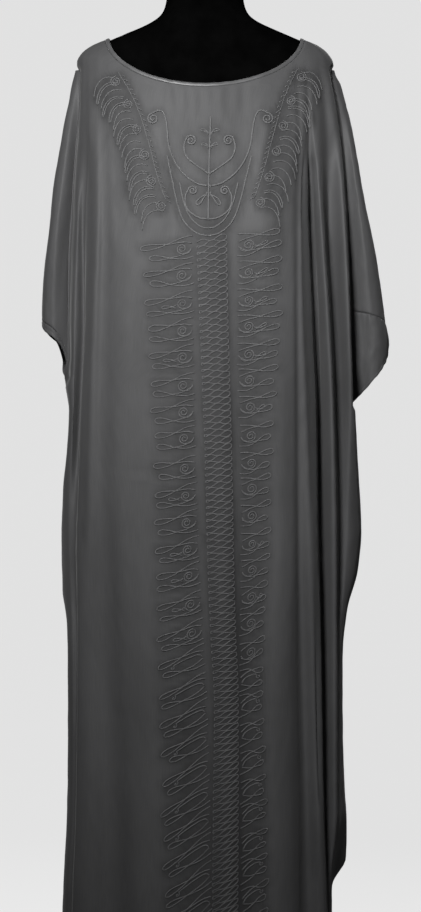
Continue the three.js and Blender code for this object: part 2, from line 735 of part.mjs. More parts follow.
function poleGeometry() {
  const top = FORM[FORM.length - 1].z - SEAM_GAP;
  const bottom = BASE.thick + SEAM_GAP;
  const geometry = new THREE.CylinderGeometry(POLE_RADIUS, POLE_RADIUS, top - bottom, POLE_SIDES);
  geometry.rotateX(Math.PI / 2);
  geometry.translate(0, 0, (top + bottom) / 2);
  return geometry;
}

function baseGeometry() {
  const { radius, thick, bevel, sides } = BASE;
  const profile = [
    [0, 0],
    [radius - bevel, 0],
    [radius, bevel],
    [radius, thick - bevel],
    [radius - bevel, thick],
    [0, thick],
  ].map(([r, z]) => new THREE.Vector2(r, z));
  const geometry = new THREE.LatheGeometry(profile, sides);
  geometry.rotateX(Math.PI / 2);
  return geometry;
}

const object = new THREE.Group();
function add(name, geometry, color, roughness, metalness = 0) {
  const mesh = new THREE.Mesh(geometry, new THREE.MeshStandardMaterial({ color, roughness, metalness }));
  mesh.name = name;
  object.add(mesh);
}

const panelRows = (top) => {
  const yokeRows = YOKE_ROWS.map((z) => THREE.MathUtils.mapLinear(z, NECK.top, yokeZ, top, yokeZ));
  return [top, ...yokeRows, ...lowerRows];
};
const upperStretch = (top) => {
  return [...panelRows(top).filter((z) => z > PARTING.z), PARTING.z + PARTING.gap / 2];
};
const lowerStretch = (top) => {
  return [PARTING.z - PARTING.gap / 2, ...panelRows(top).filter((z) => z < PARTING.z)];
};
const panels = { front: FRONT_FOLDS, back: BACK_FOLDS };
const upperGrids = {};
for (const [face, folds] of Object.entries(panels)) {
  const surface = panelSurface(face, foldCurves(folds));
  upperGrids[face] = sample(surface, SPAN_FACES[face], upperStretch);
  const lowerGrid = sample(surface, SPAN_FACES[face], lowerStretch);
  add(`${face}_upper`, clothWall(upperGrids[face], surface.outward), COLOURS.cloth, 0.6);
  add(`${face}_lower`, clothWall(lowerGrid, surface.outward), COLOURS.cloth, 0.6);
}
for (const side of ["left", "right"]) {
  const seamAbove = (round) => ends[side].seam(round) + cuffGap(side, round) / 2;
  const seamBelow = (round) => ends[side].seam(round) - cuffGap(side, round) / 2;
  const pieces = {
    [`sleeve_${side}`]: sleeveSurface(side, () => SLEEVE_TOP_Z, seamAbove),
    [`cuff_${side}`]: sleeveSurface(side, seamBelow, ends[side].hem),
  };
  for (const [name, surface] of Object.entries(pieces)) {
    const [top, bottom] = [surface.top(0, 0), surface.bottom(0, 0)];
    const heights = [top, ...seamRows.filter((z) => z < top - 2 && z > bottom + 2), bottom];
    const shares = heights.map((z) => (z - top) / (bottom - top));
    const rowsOf = (high, low) => shares.map((share) => high + (low - high) * share);
    const grid = sample(surface, SPAN_FACES.sleeve, rowsOf);
    add(name, clothWall(grid, surface.outward), COLOURS.cloth, 0.6);
  }
}
add("neck_binding", neckBinding(upperGrids.front, upperGrids.back), COLOURS.binding, 0.55);
add("dress_form", formGeometry(), COLOURS.form, 0.8);
add("stand_pole", poleGeometry(), COLOURS.steel, 0.35, 0.8);
add("stand_base", baseGeometry(), COLOURS.steel, 0.4, 0.8);

export default object;
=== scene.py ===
"""Looks of a long, loose kaftan of dark satin crepe, worn by a limbless dress form on a stand.

The cloth follows the same named sizes as the solids, only finer, and is then creased, sewn and
embroidered. Shapes are worked out in millimetres and their meshes are made in metres. +Z is up,
the front faces -Y and +X is the viewer's right.
"""

from __future__ import annotations

import logging
import math
from dataclasses import dataclass, field
from enum import Enum
from typing import Callable, Sequence

import bpy
import numpy as np
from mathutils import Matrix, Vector

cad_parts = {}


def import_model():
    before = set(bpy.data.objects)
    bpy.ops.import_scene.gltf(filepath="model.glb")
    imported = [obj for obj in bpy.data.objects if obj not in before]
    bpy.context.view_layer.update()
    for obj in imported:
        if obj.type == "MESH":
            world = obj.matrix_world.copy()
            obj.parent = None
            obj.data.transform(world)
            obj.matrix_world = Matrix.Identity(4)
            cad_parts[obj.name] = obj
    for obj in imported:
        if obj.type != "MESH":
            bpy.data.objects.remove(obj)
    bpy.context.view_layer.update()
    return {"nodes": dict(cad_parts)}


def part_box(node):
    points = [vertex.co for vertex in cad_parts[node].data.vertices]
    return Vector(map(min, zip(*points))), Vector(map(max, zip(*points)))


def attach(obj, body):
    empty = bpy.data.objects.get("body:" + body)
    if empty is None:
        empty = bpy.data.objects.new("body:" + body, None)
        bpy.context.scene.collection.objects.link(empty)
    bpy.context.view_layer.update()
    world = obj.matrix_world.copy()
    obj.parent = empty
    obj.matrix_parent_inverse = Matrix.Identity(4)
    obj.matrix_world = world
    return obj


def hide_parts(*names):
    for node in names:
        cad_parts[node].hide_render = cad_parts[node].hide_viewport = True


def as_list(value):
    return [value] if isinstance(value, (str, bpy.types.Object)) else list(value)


Place = tuple[float, float, float]
Corner = tuple[float, float]
Mirror = Callable[[np.ndarray], np.ndarray]
LOG = logging.getLogger("kaftan")
MM = 0.001

SEAM_GAP = 0.08
CUFF_GAP = 0.12
WIDEST_SLANT = 0.9
HEM_Z = 60.0
SHOULDER_Z = 1412.0
SLEEVE_TOP_Z = 1407.0
YOKE_Z = 1360.0
ROUNDNESS = 2.4
HANDLE = 0.42
SHORTEST_REACH = 0.25
SLEEVE_SPANS = 4
SLEEVE_CREST = 0.6
CLOTH_THICKNESS = 0.9


@dataclass(frozen=True)
class Neck:
    """Oval of the neck seam."""

    half: float = 148.0
    top: float = 1451.0
    front_drop: float = 84.0
    back_drop: float = 32.0


NECK = Neck()


class Side(Enum):
    """Side of the garment, as the viewer sees it from the front."""

    LEFT = -1
    RIGHT = 1


class Face(Enum):
    """Panel of the garment, with the sign of the way that it faces along Y."""

    FRONT = -1
    BACK = 1


class SmoothCurve:
    """Line through the rows of a table that never overshoots them."""

    def __init__(self, at: Sequence[float], value: Sequence[float]) -> None:
        """Sorts the rows and works out the slope at each.

        Args:
            at: Place of each row.
            value: Size at each row.
        """
        order = np.argsort(at)
        self.at = np.asarray(at, float)[order]
        self.value = np.asarray(value, float)[order]
        rise = np.diff(self.value) / np.diff(self.at)
        self.bend = np.concatenate([rise[:1], np.zeros(len(rise) - 1), rise[-1:]])
        before, after = rise[:-1], rise[1:]
        keeps_on = before * after > 0
        before, after = before[keeps_on], after[keeps_on]
        self.bend[1:-1][keeps_on] = 2 * before * after / (before + after)

    def __call__(self, place: np.ndarray | float) -> np.ndarray:
        """Value of the curve.

        Args:
            place: Places to read it at.

        Returns:
            The value at each place.
        """
        place = np.clip(np.asarray(place, float), self.at[0], self.at[-1])
        i = np.clip(np.searchsorted(self.at, place) - 1, 0, len(self.at) - 2)
        span = self.at[i + 1] - self.at[i]
        t = (place - self.at[i]) / span
        rise = t * t * (3 - 2 * t)
        start = t * (1 - t) ** 2 * span * self.bend[i]
        end = t * t * (t - 1) * span * self.bend[i + 1]
        return self.value[i] + (self.value[i + 1] - self.value[i]) * rise + start + end


@dataclass(frozen=True)
class Table:
    """Rows of sizes under named columns, the first of which gives each row's place."""

    columns: tuple[str, ...]
    rows: tuple[tuple[float, ...], ...]

    def curves(self) -> dict[str, SmoothCurve]:
        """Smooth curve of every column but the first, by name."""
        at, *values = zip(*self.rows)
        return {name: SmoothCurve(at, value) for name, value in zip(self.columns[1:], values)}


# Heights at which the folds' places are given, from the shoulder down to the hem
LEVELS = (SHOULDER_Z, 1303, 1168, 1033, 900, 718, 540, 300, 190, HEM_Z)

# Oval that the cloth follows before it is folded
WRAP = Table(
    ("z", "left", "right", "front", "back"),
    (
        (1451, 148, 148, 63, 68),
        (1441, 172, 172, 69, 76),
        (1430, 186, 185, 74, 82),
        (1418, 192, 192, 79, 87),
        (1400, 191, 194, 85, 92),
        (1370, 198, 208, 93, 99),
        (1303, 210, 222, 108, 106),
        (1213, 225, 237, 122, 110),
        (1123, 238, 255, 129, 114),
        (1033, 245, 269, 132, 118),
        (900, 238, 256, 134, 126),
        (718, 232, 246, 136, 134),
        (540, 220, 224, 138, 138),
        (300, 219, 224, 141, 143),
        (190, 222, 212, 143, 145),
        (HEM_Z, 226, 210, 145, 148),
    ),
).curves()


@dataclass(frozen=True)
class Fold:
    """One fold of a panel: its x and its way in from the oval at each of LEVELS."""

    name: str
    hold: float
    across: tuple[float, ...]
    depth: tuple[float, ...]


FRONT_FOLDS = (
    Fold(
        "left side crest",
        0.4,
        (-183, -184, -188, -192, -193, -202, -194, -196, -202, -205),
        (0, 4, 12, 18, 24, 26, 10, 10, 10, 10),
    ),
    Fold(
        "left slot",
        0.35,
        (-176, -175, -180, -180, -185, -192, -188, -191, -196, -199),
        (0, 5, 30, 40, 40, 28, 16, 12, 12, 12),
    ),
    Fold(
        "left panel edge",
        0.6,
        (-166, -164, -158, -164, -171, -177, -182, -185, -188, -190),
        (0, 0, 0, 0, 0, 0, 2, 4, 4, 4),
    ),
    Fold(
        "left shallow trough",
        0.4,
        (-150, -149, -147, -148, -150, -146, -141, -135, -134, -134),
        (0, 1, 3, 4, 6, 9, 15, 21, 23, 25),
    ),
    Fold(
        "left broad crest",
        0.5,
        (-130, -132, -128, -124, -121, -115, -104, -88, -84, -80),
        (0, 0, 0, 0, 0, 0, 0, 0, 0, 0),
    ),
    Fold(
        "left scroll trough",
        0.4,
        (-85, -80, -75, -70, -66, -60, -52, -44, -40, -38),
        (0, 1, 2, 3, 3, 4, 5, 6, 6, 7),
    ),
    Fold(
        "crease left of the lattice",
        0.35,
        (-38, -32, -22, -12, -6, 0, 5, 10, 11, 12),
        (0, 1, 1, 1, 2, 5, 8, 9, 9, 9),
    ),
    Fold(
        "lattice crest",
        0.45,
        (-2, 2, 8, 14, 19, 25, 29, 31, 31, 31),
        (0, 0, 0, 0, 0, 0, 0, 1, 1, 1),
    ),
    Fold(
        "trough right of the lattice",
        0.4,
        (36, 38, 41, 45, 48, 53, 59, 67, 69, 70),
        (0, 1, 3, 4, 5, 8, 10, 12, 13, 14),
    ),
    Fold(
        "right panel crest",
        0.6,
        (124, 128, 122, 124, 125, 124, 119, 117, 118, 118),
        (0, 0, -2, -2, -1, 0, 0, 0, 0, 0),
    ),
    Fold(
        "right shallow slot",
        0.35,
        (133, 138, 135, 134, 135, 137, 141, 148, 149, 150),
        (0, 2, 3, 4, 6, 13, 23, 30, 31, 32),
    ),
    Fold(
        "right middle crest",
        0.5,
        (141, 145, 142, 143, 149, 154, 161, 167, 173, 176),
        (0, 1, 3, 4, 4, 5, 7, 9, 10, 10),
    ),
    Fold(
        "right deep slot",
        0.3,
        (149, 152, 156, 163, 168, 170, 174, 178, 181, 183),
        (0, 5, 34, 46, 56, 56, 48, 44, 36, 36),
    ),
    Fold(
        "right pipe crest",
        0.5,
        (157, 160, 169, 178, 185, 189, 191, 191, 184, 186),
        (0, 0, 4, 8, 10, 14, 16, 18, 34, 36),
    ),
    Fold(
        "right second slot",
        0.3,
        (168, 180, 182, 189, 195, 200, 198, 198, 186, 188),
        (0, 10, 38, 46, 46, 44, 30, 26, 40, 42),
    ),
    Fold(
        "right outer pipe crest",
        0.45,
        (181, 194, 203, 209, 214, 211, 201, 203, 188, 190),
        (0, 2, 4, 6, 14, 30, 30, 30, 50, 52),
    ),
)

BACK_FOLDS = (
    Fold(
        "left outer pipe",
        0.45,
        (-180, -184, -192, -196, -193, -201, -188, -192, -198, -202),
        (0, 2, 6, 8, 14, 26, 22, 20, 20, 20),
    ),
    Fold(
        "left outer slot",
        0.35,
        (-158, -160, -166, -170, -173, -176, -170, -168, -171, -173),
        (0, 6, 22, 30, 34, 36, 34, 32, 32, 34),
    ),
    Fold(
        "left pipe",
        0.5,
        (-134, -136, -139, -142, -145, -148, -146, -146, -147, -148),
        (0, 1, 2, 3, 3, 4, 4, 4, 4, 4),
    ),
    Fold(
        "left inner slot",
        0.4,
        (-96, -99, -104, -108, -111, -114, -115, -115, -115, -115),
        (0, 2, 6, 10, 15, 22, 27, 31, 33, 35),
    ),
    Fold(
        "left inner pipe",
        0.5,
        (-52, -56, -61, -65, -68, -72, -75, -77, -78, -78),
        (0, 0, 0, 0, 0, 0, 0, 0, 0, 0),
    ),
    Fold(
        "middle slot",
        0.4,
        (-6, -8, -11, -14, -17, -20, -23, -25, -26, -26),
        (0, 1, 3, 6, 11, 18, 24, 28, 30, 32),
    ),
    Fold(
        "right inner pipe",
        0.5,
        (44, 42, 38, 35, 33, 30, 27, 25, 24, 24),
        (0, 0, 0, 0, 0, 0, 0, 0, 0, 0),
    ),
    Fold(
        "right inner slot",
        0.4,
        (88, 87, 84, 82, 80, 78, 77, 76, 75, 75),
        (0, 2, 6, 10, 14, 20, 25, 29, 31, 33),
    ),
    Fold(
        "right pipe",
        0.5,
        (130, 131, 130, 128, 127, 126, 125, 124, 122, 122),
        (0, 1, 2, 2, 3, 3, 4, 4, 4, 4),
    ),
    Fold(
        "right outer slot",
        0.35,
        (158, 162, 167, 169, 169, 170, 166, 165, 156, 156),
        (0, 6, 24, 32, 34, 36, 32, 30, 28, 28),
    ),
    Fold(
        "right outer pipe",
        0.45,
        (180, 191, 201, 206, 207, 210, 192, 196, 178, 178),
        (0, 2, 6, 8, 12, 26, 24, 24, 26, 26),
    ),
)

# Armhole seam down to the underarm, then the side seam: open is half the armhole's width and turn the
# angle at which the cloth crosses the seam
SIDE_SEAMS = {
    Side.LEFT: Table(
        ("z", "x", "y", "open", "turn"),
        (
            (SHOULDER_Z, -191, 0, 0, 90),
            (1400, -187, 0, 12, 55),
            (1348, -188, 0, 24, 15),
            (1303, -192, 0, 30, 5),
            (1213, -198, 1, 37, 0),
            (1123, -203, 2, 38, 0),
            (1033, -204, 3, 37, 0),
            (975, -205, 3, 32, 10),
            (955, -210, 4, 22, 15),
            (944, -210, 4, 13, 30),
            (935, -209, 5, 0, 90),
            (895, -202, 7, 0, 90),
            (840, -204, 9, 0, 90),
            (763, -211, 12, 0, 90),
            (700, -215, 14, 0, 90),
            (628, -213, 16, 0, 90),
            (580, -200, 16, 0, 90),
            (540, -198, 14, 0, 90),
            (300, -204, 10, 0, 90),
            (190, -210, 8, 0, 90),
            (HEM_Z, -214, 8, 0, 90),
        ),
    ).curves(),
    Side.RIGHT: Table(
        ("z", "x", "y", "open", "turn"),
        (
            (SHOULDER_Z, 191, 0, 0, 90),
            (1400, 190, 0, 12, 55),
            (1348, 200, 0, 26, 15),
            (1303, 205, 0, 34, 5),
            (1213, 211, 0, 40, 0),
            (1123, 215, 1, 41, 0),
            (1033, 218, 2, 40, 0),
            (960, 219, 4, 34, 5),
            (920, 220, 6, 20, 12),
            (905, 220, 6, 10, 30),
            (895, 221, 7, 0, 90),
            (793, 231, 10, 0, 90),
            (718, 235, 12, 0, 90),
            (660, 230, 14, 0, 90),
            (590, 207, 14, 0, 90),
            (540, 203, 13, 0, 90),
            (400, 205, 12, 0, 90),
            (340, 209, 10, 0, 90),
            (268, 213, 8, 0, 90),
            (225, 212, 10, 0, 90),
            (182, 190, 12, 0, 90),
            (HEM_Z, 192, 12, 0, 90),
        ),
    ).curves(),
}

# Outer edge of each hanging sleeve, and how far its front and back stand out from the middle
SLEEVE_EDGES = {
    Side.LEFT: Table(
        ("z", "x", "front", "back"),
        (
            (SHOULDER_Z, -193, 0, 0),
            (1400, -196, 7, 7),
            (1385, -200, 11, 11),
            (1357, -205, 18, 18),
            (1304, -215, 29, 28),
            (1226, -227, 42, 41),
            (1168, -233, 47, 46),
            (1108, -240, 46, 46),
            (1039, -244, 42, 44),
            (1020, -243, 41, 43),
            (925, -234, 34, 36),
        ),
    ).curves(),
    Side.RIGHT: Table(
        ("z", "x", "front", "back"),
        (
            (SHOULDER_Z, 193, 0, 0),
            (1400, 196, 7, 7),
            (1385, 204, 11, 11),
            (1348, 213, 22, 22),
            (1303, 222, 35, 34),
            (1213, 237, 50, 48),
            (1123, 255, 54, 54),
            (1033, 269, 52, 54),
            (995, 274, 48, 50),
            (895, 274, 40, 42),
        ),
    ).curves(),
}

# Height of the cuff seam and hem, round from the armhole's front (0) over the outer edge to its back (1)
SLEEVE_ENDS = {
    Side.LEFT: Table(
        ("round", "seam", "hem"),
        (
            (0, 980, 967),
            (0.083, 1003, 990),
            (0.25, 1020, 1007),
            (0.5, 1038, 1025),
            (0.75, 1016, 1003),
            (0.84, 998, 984),
            (0.92, 970, 956),
            (1, 957, 944),
        ),
    ).curves(),
    Side.RIGHT: Table(
        ("round", "seam", "hem"),
        (
            (0, 1044, 906),
            (0.25, 1037, 945),
            (0.33, 1032, 962),
            (0.42, 1025, 979),
            (0.5, 1018, 993),
            (0.58, 1025, 980),
            (0.67, 1032, 964),
            (0.75, 1037, 948),
            (1, 1044, 910),
        ),
    ).curves(),
}


def oval_reach(x: np.ndarray, z: np.ndarray, face: Face) -> np.ndarray:
    """How far the unfolded cloth stands out to the front or back.

    Args:
        x: Places across.
        z: Heights.
        face: Which half of the oval.

    Returns:
        The reach at each place, in millimetres.
    """
    half = np.where(x < 0, WRAP["left"](z), WRAP["right"](z))
    share = np.minimum(np.abs(x) / half, 1)
    return WRAP[face.name.lower()](z) * (1 - share**ROUNDNESS) ** (1 / ROUNDNESS)


def along_section(
    points: np.ndarray, hold: np.ndarray, given: dict[int, np.ndarray], span: np.ndarray, t: np.ndarray
) -> np.ndarray:
    """Points on the smooth section that runs through a row of anchors, one section for each point.

    Args:
        points: Anchors of each section, as (section, anchor, xy).
        hold: Length of each anchor's handles, as a share of the span.
        given: Direction of the section at some anchors; the others halve the angle between spans.
        span: Span that each point lies in.
        t: Place of each point in its span, from 0 to 1.

    Returns:
        The points, as (section, xy).
    """
    chord = np.diff(points, axis=1)
    length = np.linalg.norm(chord, axis=2, keepdims=True)
    unit = chord / length
    direction = np.zeros_like(points)
    middle = unit[:, :-1] + unit[:, 1:]
    direction[:, 1:-1] = middle / np.linalg.norm(middle, axis=2, keepdims=True)
    for index, value in given.items():
        direction[:, index] = value
    every = np.arange(len(points))
    whole, size = chord[every, span], length[every, span, 0]

    def handle(anchor: np.ndarray) -> np.ndarray:
        """Handle of the span at one of its two anchors.

        Args:
            anchor: Number of the anchor, one for each point.

        Returns:
            The handles, as x and y.
        """
        way = direction[every, anchor]
        reach = np.maximum((whole * way).sum(axis=1), SHORTEST_REACH * size)
        return way * (hold[anchor] * reach)[:, None]

    start, end = points[every, span], points[every, span + 1]
    leave, arrive = start + handle(span), end - handle(span + 1)
    t = t[:, None]
    u = 1 - t
    return u**3 * start + 3 * u * u * t * leave + 3 * u * t * t * arrive + t**3 * end


@dataclass(frozen=True)
class SeamLine:
    """Armhole seam and side seam on one side, where two sewn pieces meet."""

    side: Side

    def point(self, face: Face, z: np.ndarray) -> np.ndarray:
        """Middle of the seam's gap.

        Args:
            face: Panel that is sewn there.
            z: Heights.

        Returns:
            The points, as (height, xyz).
        """
        table = SIDE_SEAMS[self.side]
        high = z > SHOULDER_Z - 0.01
        shoulder = self.side.value * WRAP[self.side.name.lower()](z)
        x = np.where(high, shoulder, table["x"](z))
        y = np.where(high, 0.0, table["y"](z) + face.value * table["open"](z))
        return np.stack([x, y, z], axis=-1)

    def crossing(self, face: Face, z: np.ndarray) -> tuple[np.ndarray, np.ndarray]:
        """Where and which way the cloth crosses the seam.

        Args:
            face: Panel that is sewn there.
            z: Heights.

        Returns:
            Middle of the gap as (height, xy), and the way out of the panel over half the gap.
        """
        angle = np.radians(SIDE_SEAMS[self.side]["turn"](z))
        angle = np.where(z > SHOULDER_Z - 0.01, math.pi / 2, angle)
        out = np.stack([self.side.value * np.cos(angle), -face.value * np.sin(angle)], axis=-1)
        above, below = np.minimum(z + 0.5, NECK.top), np.maximum(z - 0.5, HEM_Z)
        along = self.point(face, above) - self.point(face, below)
        along /= np.linalg.norm(along, axis=1, keepdims=True)
        slant = np.minimum(np.abs((along[:, :2] * out).sum(axis=1)), WIDEST_SLANT)
        gap = SEAM_GAP / np.sqrt(1 - slant**2)
        return self.point(face, z)[:, :2], out * (gap / 2)[:, None]


def unit_rows(vectors: np.ndarray) -> np.ndarray:
    """The same vectors, each one unit long."""
    return vectors / np.maximum(np.linalg.norm(vectors, axis=-1, keepdims=True), 1e-12)


class PanelShape:
    """Form of the front or the back before it is creased."""

    def __init__(self, face: Face, folds: Sequence[Fold]) -> None:
        """Reads the folds as curves.

        Args:
            face: Which panel.
            folds: Its folds, from the left to the right.
        """
        self.face = face
        self.across = [SmoothCurve(LEVELS, fold.across) for fold in folds]
        self.depth = [SmoothCurve(LEVELS, fold.depth) for fold in folds]
        self.hold = np.array([HANDLE, *(fold.hold for fold in folds), HANDLE])
        self.spans = len(folds) + 1
        self.outward = -face.value

    def point(self, span: np.ndarray, t: np.ndarray, z: np.ndarray) -> np.ndarray:
        """Points of the panel.

        Args:
            span: Span between two folds that each lies in.
            t: Place in the span.
            z: Height.

        Returns:
            The points, as (point, xyz).
        """
        level = np.minimum(z, SHOULDER_Z)
        left, left_out = SeamLine(Side.LEFT).crossing(self.face, z)
        right, right_out = SeamLine(Side.RIGHT).crossing(self.face, z)
        anchors = [left - left_out]
        for across, depth in zip(self.across, self.depth):
            x = across(level)
            for side, chosen in ((Side.LEFT, x < 0), (Side.RIGHT, x >= 0)):
                wrap = WRAP[side.name.lower()]
                x = np.where(chosen & (z > SHOULDER_Z), x * wrap(z) / wrap(SHOULDER_Z), x)
            y = self.face.value * (oval_reach(x, z, self.face) - depth(level))
            anchors.append(np.stack([x, y], axis=-1))
        anchors.append(right - right_out)
        given = {0: -unit_rows(left_out), len(anchors) - 1: unit_rows(right_out)}
        xy = along_section(np.stack(anchors, axis=1), self.hold, given, span, t)
        return np.concatenate([xy, z[:, None]], axis=1)

    def neck_height(self, x: np.ndarray) -> np.ndarray:
        """Height of the neck seam above each place across.

        Args:
            x: Places across.

        Returns:
            The heights.
        """
        drop = NECK.front_drop if self.face is Face.FRONT else NECK.back_drop
        share = np.minimum(np.abs(x) / NECK.half, 1)
        return NECK.top - drop * np.sqrt(1 - share**2)

    def top(self, span: np.ndarray, t: np.ndarray) -> np.ndarray:
        """Height at which each column of the panel meets the neck or the shoulder seam.

        Args:
            span: Number of each column's span.
            t: Place of each column in its span.

        Returns:
            The heights.
        """
        low = np.full(len(span), NECK.top - NECK.front_drop - 10)
        high = np.full(len(span), NECK.top)
        for _ in range(40):
            middle = (low + high) / 2
            under = middle < self.neck_height(self.point(span, t, middle)[:, 0])
            low, high = np.where(under, middle, low), np.where(under, high, middle)
        return (low + high) / 2


class SleeveShape:
    """Form of a sleeve and of the cuff below it."""

    def __init__(self, side: Side) -> None:
        """Takes the sleeve's side.

        Args:
            side: Side of the sleeve.
        """
        self.side = side
        self.hold = np.array([HANDLE, 0.5, HANDLE, 0.5, HANDLE])
        self.spans = SLEEVE_SPANS
        self.outward = side.value

    def point(self, span: np.ndarray, t: np.ndarray, z: np.ndarray) -> np.ndarray:
        """Points of the sleeve.

        Args:
            span: Quarter of the way round that each lies in.
            t: Place in that quarter.
            z: Height.

        Returns:
            The points, as (point, xyz).
        """
        sign, table, seam = self.side.value, SLEEVE_EDGES[self.side], SeamLine(self.side)
        front, front_out = seam.crossing(Face.FRONT, z)
        back, back_out = seam.crossing(Face.BACK, z)
        start, end = front + front_out, back + back_out
        edge = sign * np.maximum(sign * table["x"](z), sign * start[:, 0] + 0.8)
        crest = start[:, 0] + (edge - start[:, 0]) * SLEEVE_CREST
        anchors = np.stack(
            [
                start,
                np.stack([crest, -table["front"](z)], axis=-1),
                np.stack([edge, np.zeros_like(edge)], axis=-1),
                np.stack([crest, table["back"](z)], axis=-1),
                end,
            ],
            axis=1,
        )
        given = {0: unit_rows(front_out), 2: np.array([0.0, 1.0]), 4: -unit_rows(back_out)}
        xy = along_section(anchors, self.hold, given, span, t)
        return np.concatenate([xy, z[:, None]], axis=1)

    def at_round(self, way: np.ndarray, z: np.ndarray) -> np.ndarray:
        """Points at shares of the way round the sleeve."""
        span = np.minimum(np.floor(way * SLEEVE_SPANS), SLEEVE_SPANS - 1).astype(int)
        return self.point(span, way * SLEEVE_SPANS - span, z)

    def seam_height(self, way: np.ndarray, part: float) -> np.ndarray:
        """Height of an edge at the cuff seam.

        Args:
            way: Shares of the way round.
            part: 0.5 for the sleeve's edge and -0.5 for the cuff's.

        Returns:
            The height at each place, with half of the seam's gap to each side.
        """
        seam = SLEEVE_ENDS[self.side]["seam"]
        before, after = np.maximum(way - 0.04, 0), np.minimum(way + 0.04, 1)
        step = self.at_round(after, seam(after)) - self.at_round(before, seam(before))
        slope = np.linalg.norm(step, axis=1) / np.hypot(step[:, 0], step[:, 1])
        return seam(way) + part * CUFF_GAP * slope


@dataclass
class Grid:
    """Points of a sheet, as (column, row, xyz) in millimetres."""

    points: np.ndarray
    outward: int

    def normals(self) -> np.ndarray:
        """Outward normal at every point.

        Returns:
            The unit normals.
        """
        across = np.gradient(self.points, axis=0)
        down = np.gradient(self.points, axis=1)
        return unit_rows(np.cross(across, -down)) * self.outward

    def way_across(self) -> np.ndarray:
        """Distance of every point from the first column, along its row."""
        steps = np.linalg.norm(np.diff(self.points, axis=0), axis=2)
        return np.concatenate([np.zeros((1, steps.shape[1])), np.cumsum(steps, axis=0)])

    def way_down(self) -> np.ndarray:
        """Distance of every point from the first row, along its column."""
        steps = np.linalg.norm(np.diff(self.points, axis=1), axis=2)
        return np.concatenate([np.zeros((steps.shape[0], 1)), np.cumsum(steps, axis=1)], axis=1)

    def moved(self, height: np.ndarray) -> "Grid":
        """The sheet with each point moved out along its normal."""
        return Grid(self.points + self.normals() * height[..., None], self.outward)


def column_places(
    spans: int, lengths: np.ndarray, face_width: float, fewest: int
) -> tuple[np.ndarray, np.ndarray]:
    """Places of a sheet's columns.

    Args:
        spans: Number of spans.
        lengths: Length of each span.
        face_width: Width that each face should have.
        fewest: Least number of faces in a span.

    Returns:
        Span and place in the span of each column.
    """
    span, place = [], []
    for i in range(spans):
        count = max(fewest, int(math.ceil(lengths[i] / face_width)))
        span += [i] * count
        place += [k / count for k in range(count)]
    return np.array([*span, spans - 1]), np.array([*place, 1.0])


def grid_over(shape: PanelShape | SleeveShape, span: np.ndarray, t: np.ndarray, z: np.ndarray) -> Grid:
    """Sheet of points over a form.

    Args:
        shape: The form.
        span: Span of each column.
        t: Place of each column in its span.
        z: Heights, as (column, row).

    Returns:
        The grid of points.
    """
    rows = z.shape[1]
    points = shape.point(np.repeat(span, rows), np.repeat(t, rows), z.ravel())
    return Grid(points.reshape(len(span), rows, 3), shape.outward)


def eased(value: np.ndarray) -> np.ndarray:
    """Values from 0 to 1 with a soft start and end."""
    value = np.clip(value, 0, 1)
    return value * value * (3 - 2 * value)


@dataclass(frozen=True)
class Crease:
    """Soft trough, or ridge where depth is above 0, between two places seen from the panel's own side."""

    x0: float
    z0: float
    x1: float
    z1: float
    width: float
    depth: float
    bow: float = 0.0

    def height(self, points: np.ndarray) -> np.ndarray:
        """Way out of the cloth over the crease.

        Args:
            points: Places on the cloth, with x, y and z last.

        Returns:
            The height at each place.
        """
        way = np.array([self.x1 - self.x0, self.z1 - self.z0])
        length = float(np.hypot(*way))
        away_x, away_z = points[..., 0] - self.x0, points[..., 2] - self.z0
        along = (away_x * way[0] + away_z * way[1]) / length**2
        inside = np.clip(along, 0, 1)
        aside = (away_x * way[1] - away_z * way[0]) / length - self.bow * 4 * inside * (1 - inside)
        past = (along - inside) * length
        near = np.exp(-((aside / self.width) ** 2) - (past / (1.6 * self.width)) ** 2)
        return self.depth * near * (0.35 + 0.65 * np.sin(math.pi * inside) ** 0.7)


@dataclass(frozen=True)
class Unevenness:
    """Slow rise and fall of hung cloth, made of a few crossing waves."""

    seed: int
    height: float
    longest: float
    shortest: float
    upright: float
    waves: int = 22

    def at(self, points: np.ndarray) -> np.ndarray:
        """Way out of the cloth.

        Args:
            points: Places on the cloth, with x, y and z last.

        Returns:
            The height at each place.
        """
        draw = np.random.default_rng(self.seed)
        total = np.zeros(points.shape[:-1])
        for _ in range(self.waves):
            length = draw.uniform(self.shortest, self.longest)
            turn = draw.normal(0, 1 / self.upright)
            lean = draw.uniform(-0.6, 0.6)
            phase = draw.uniform(0, 2 * math.pi)
            way = np.array([math.cos(turn), lean, math.sin(turn)]) * 2 * math.pi / length
            total += np.sin(points @ way + phase)
        return self.height * total / math.sqrt(self.waves)


def material_slot(obj: bpy.types.Object, material: bpy.types.Material) -> None:
    """Gives an object one material."""
    obj.data.materials.clear()
    obj.data.materials.append(material)


def smooth(obj: bpy.types.Object) -> None:
    """Shades every face of an object smooth."""
    obj.data.polygons.foreach_set("use_smooth", np.ones(len(obj.data.polygons), bool))
    obj.data.update()


def only(obj: bpy.types.Object) -> None:
    """Selects one object and nothing else.

    Args:
        obj: The object.
    """
    for other in bpy.context.selected_objects:
        other.select_set(False)
    obj.select_set(True)
    bpy.context.view_layer.objects.active = obj


def finish_modifiers(obj: bpy.types.Object) -> None:
    """Applies every modifier of an object.

    Args:
        obj: The object.
    """
    only(obj)
    for modifier in list(obj.modifiers):
        bpy.ops.object.modifier_apply(modifier=modifier.name)


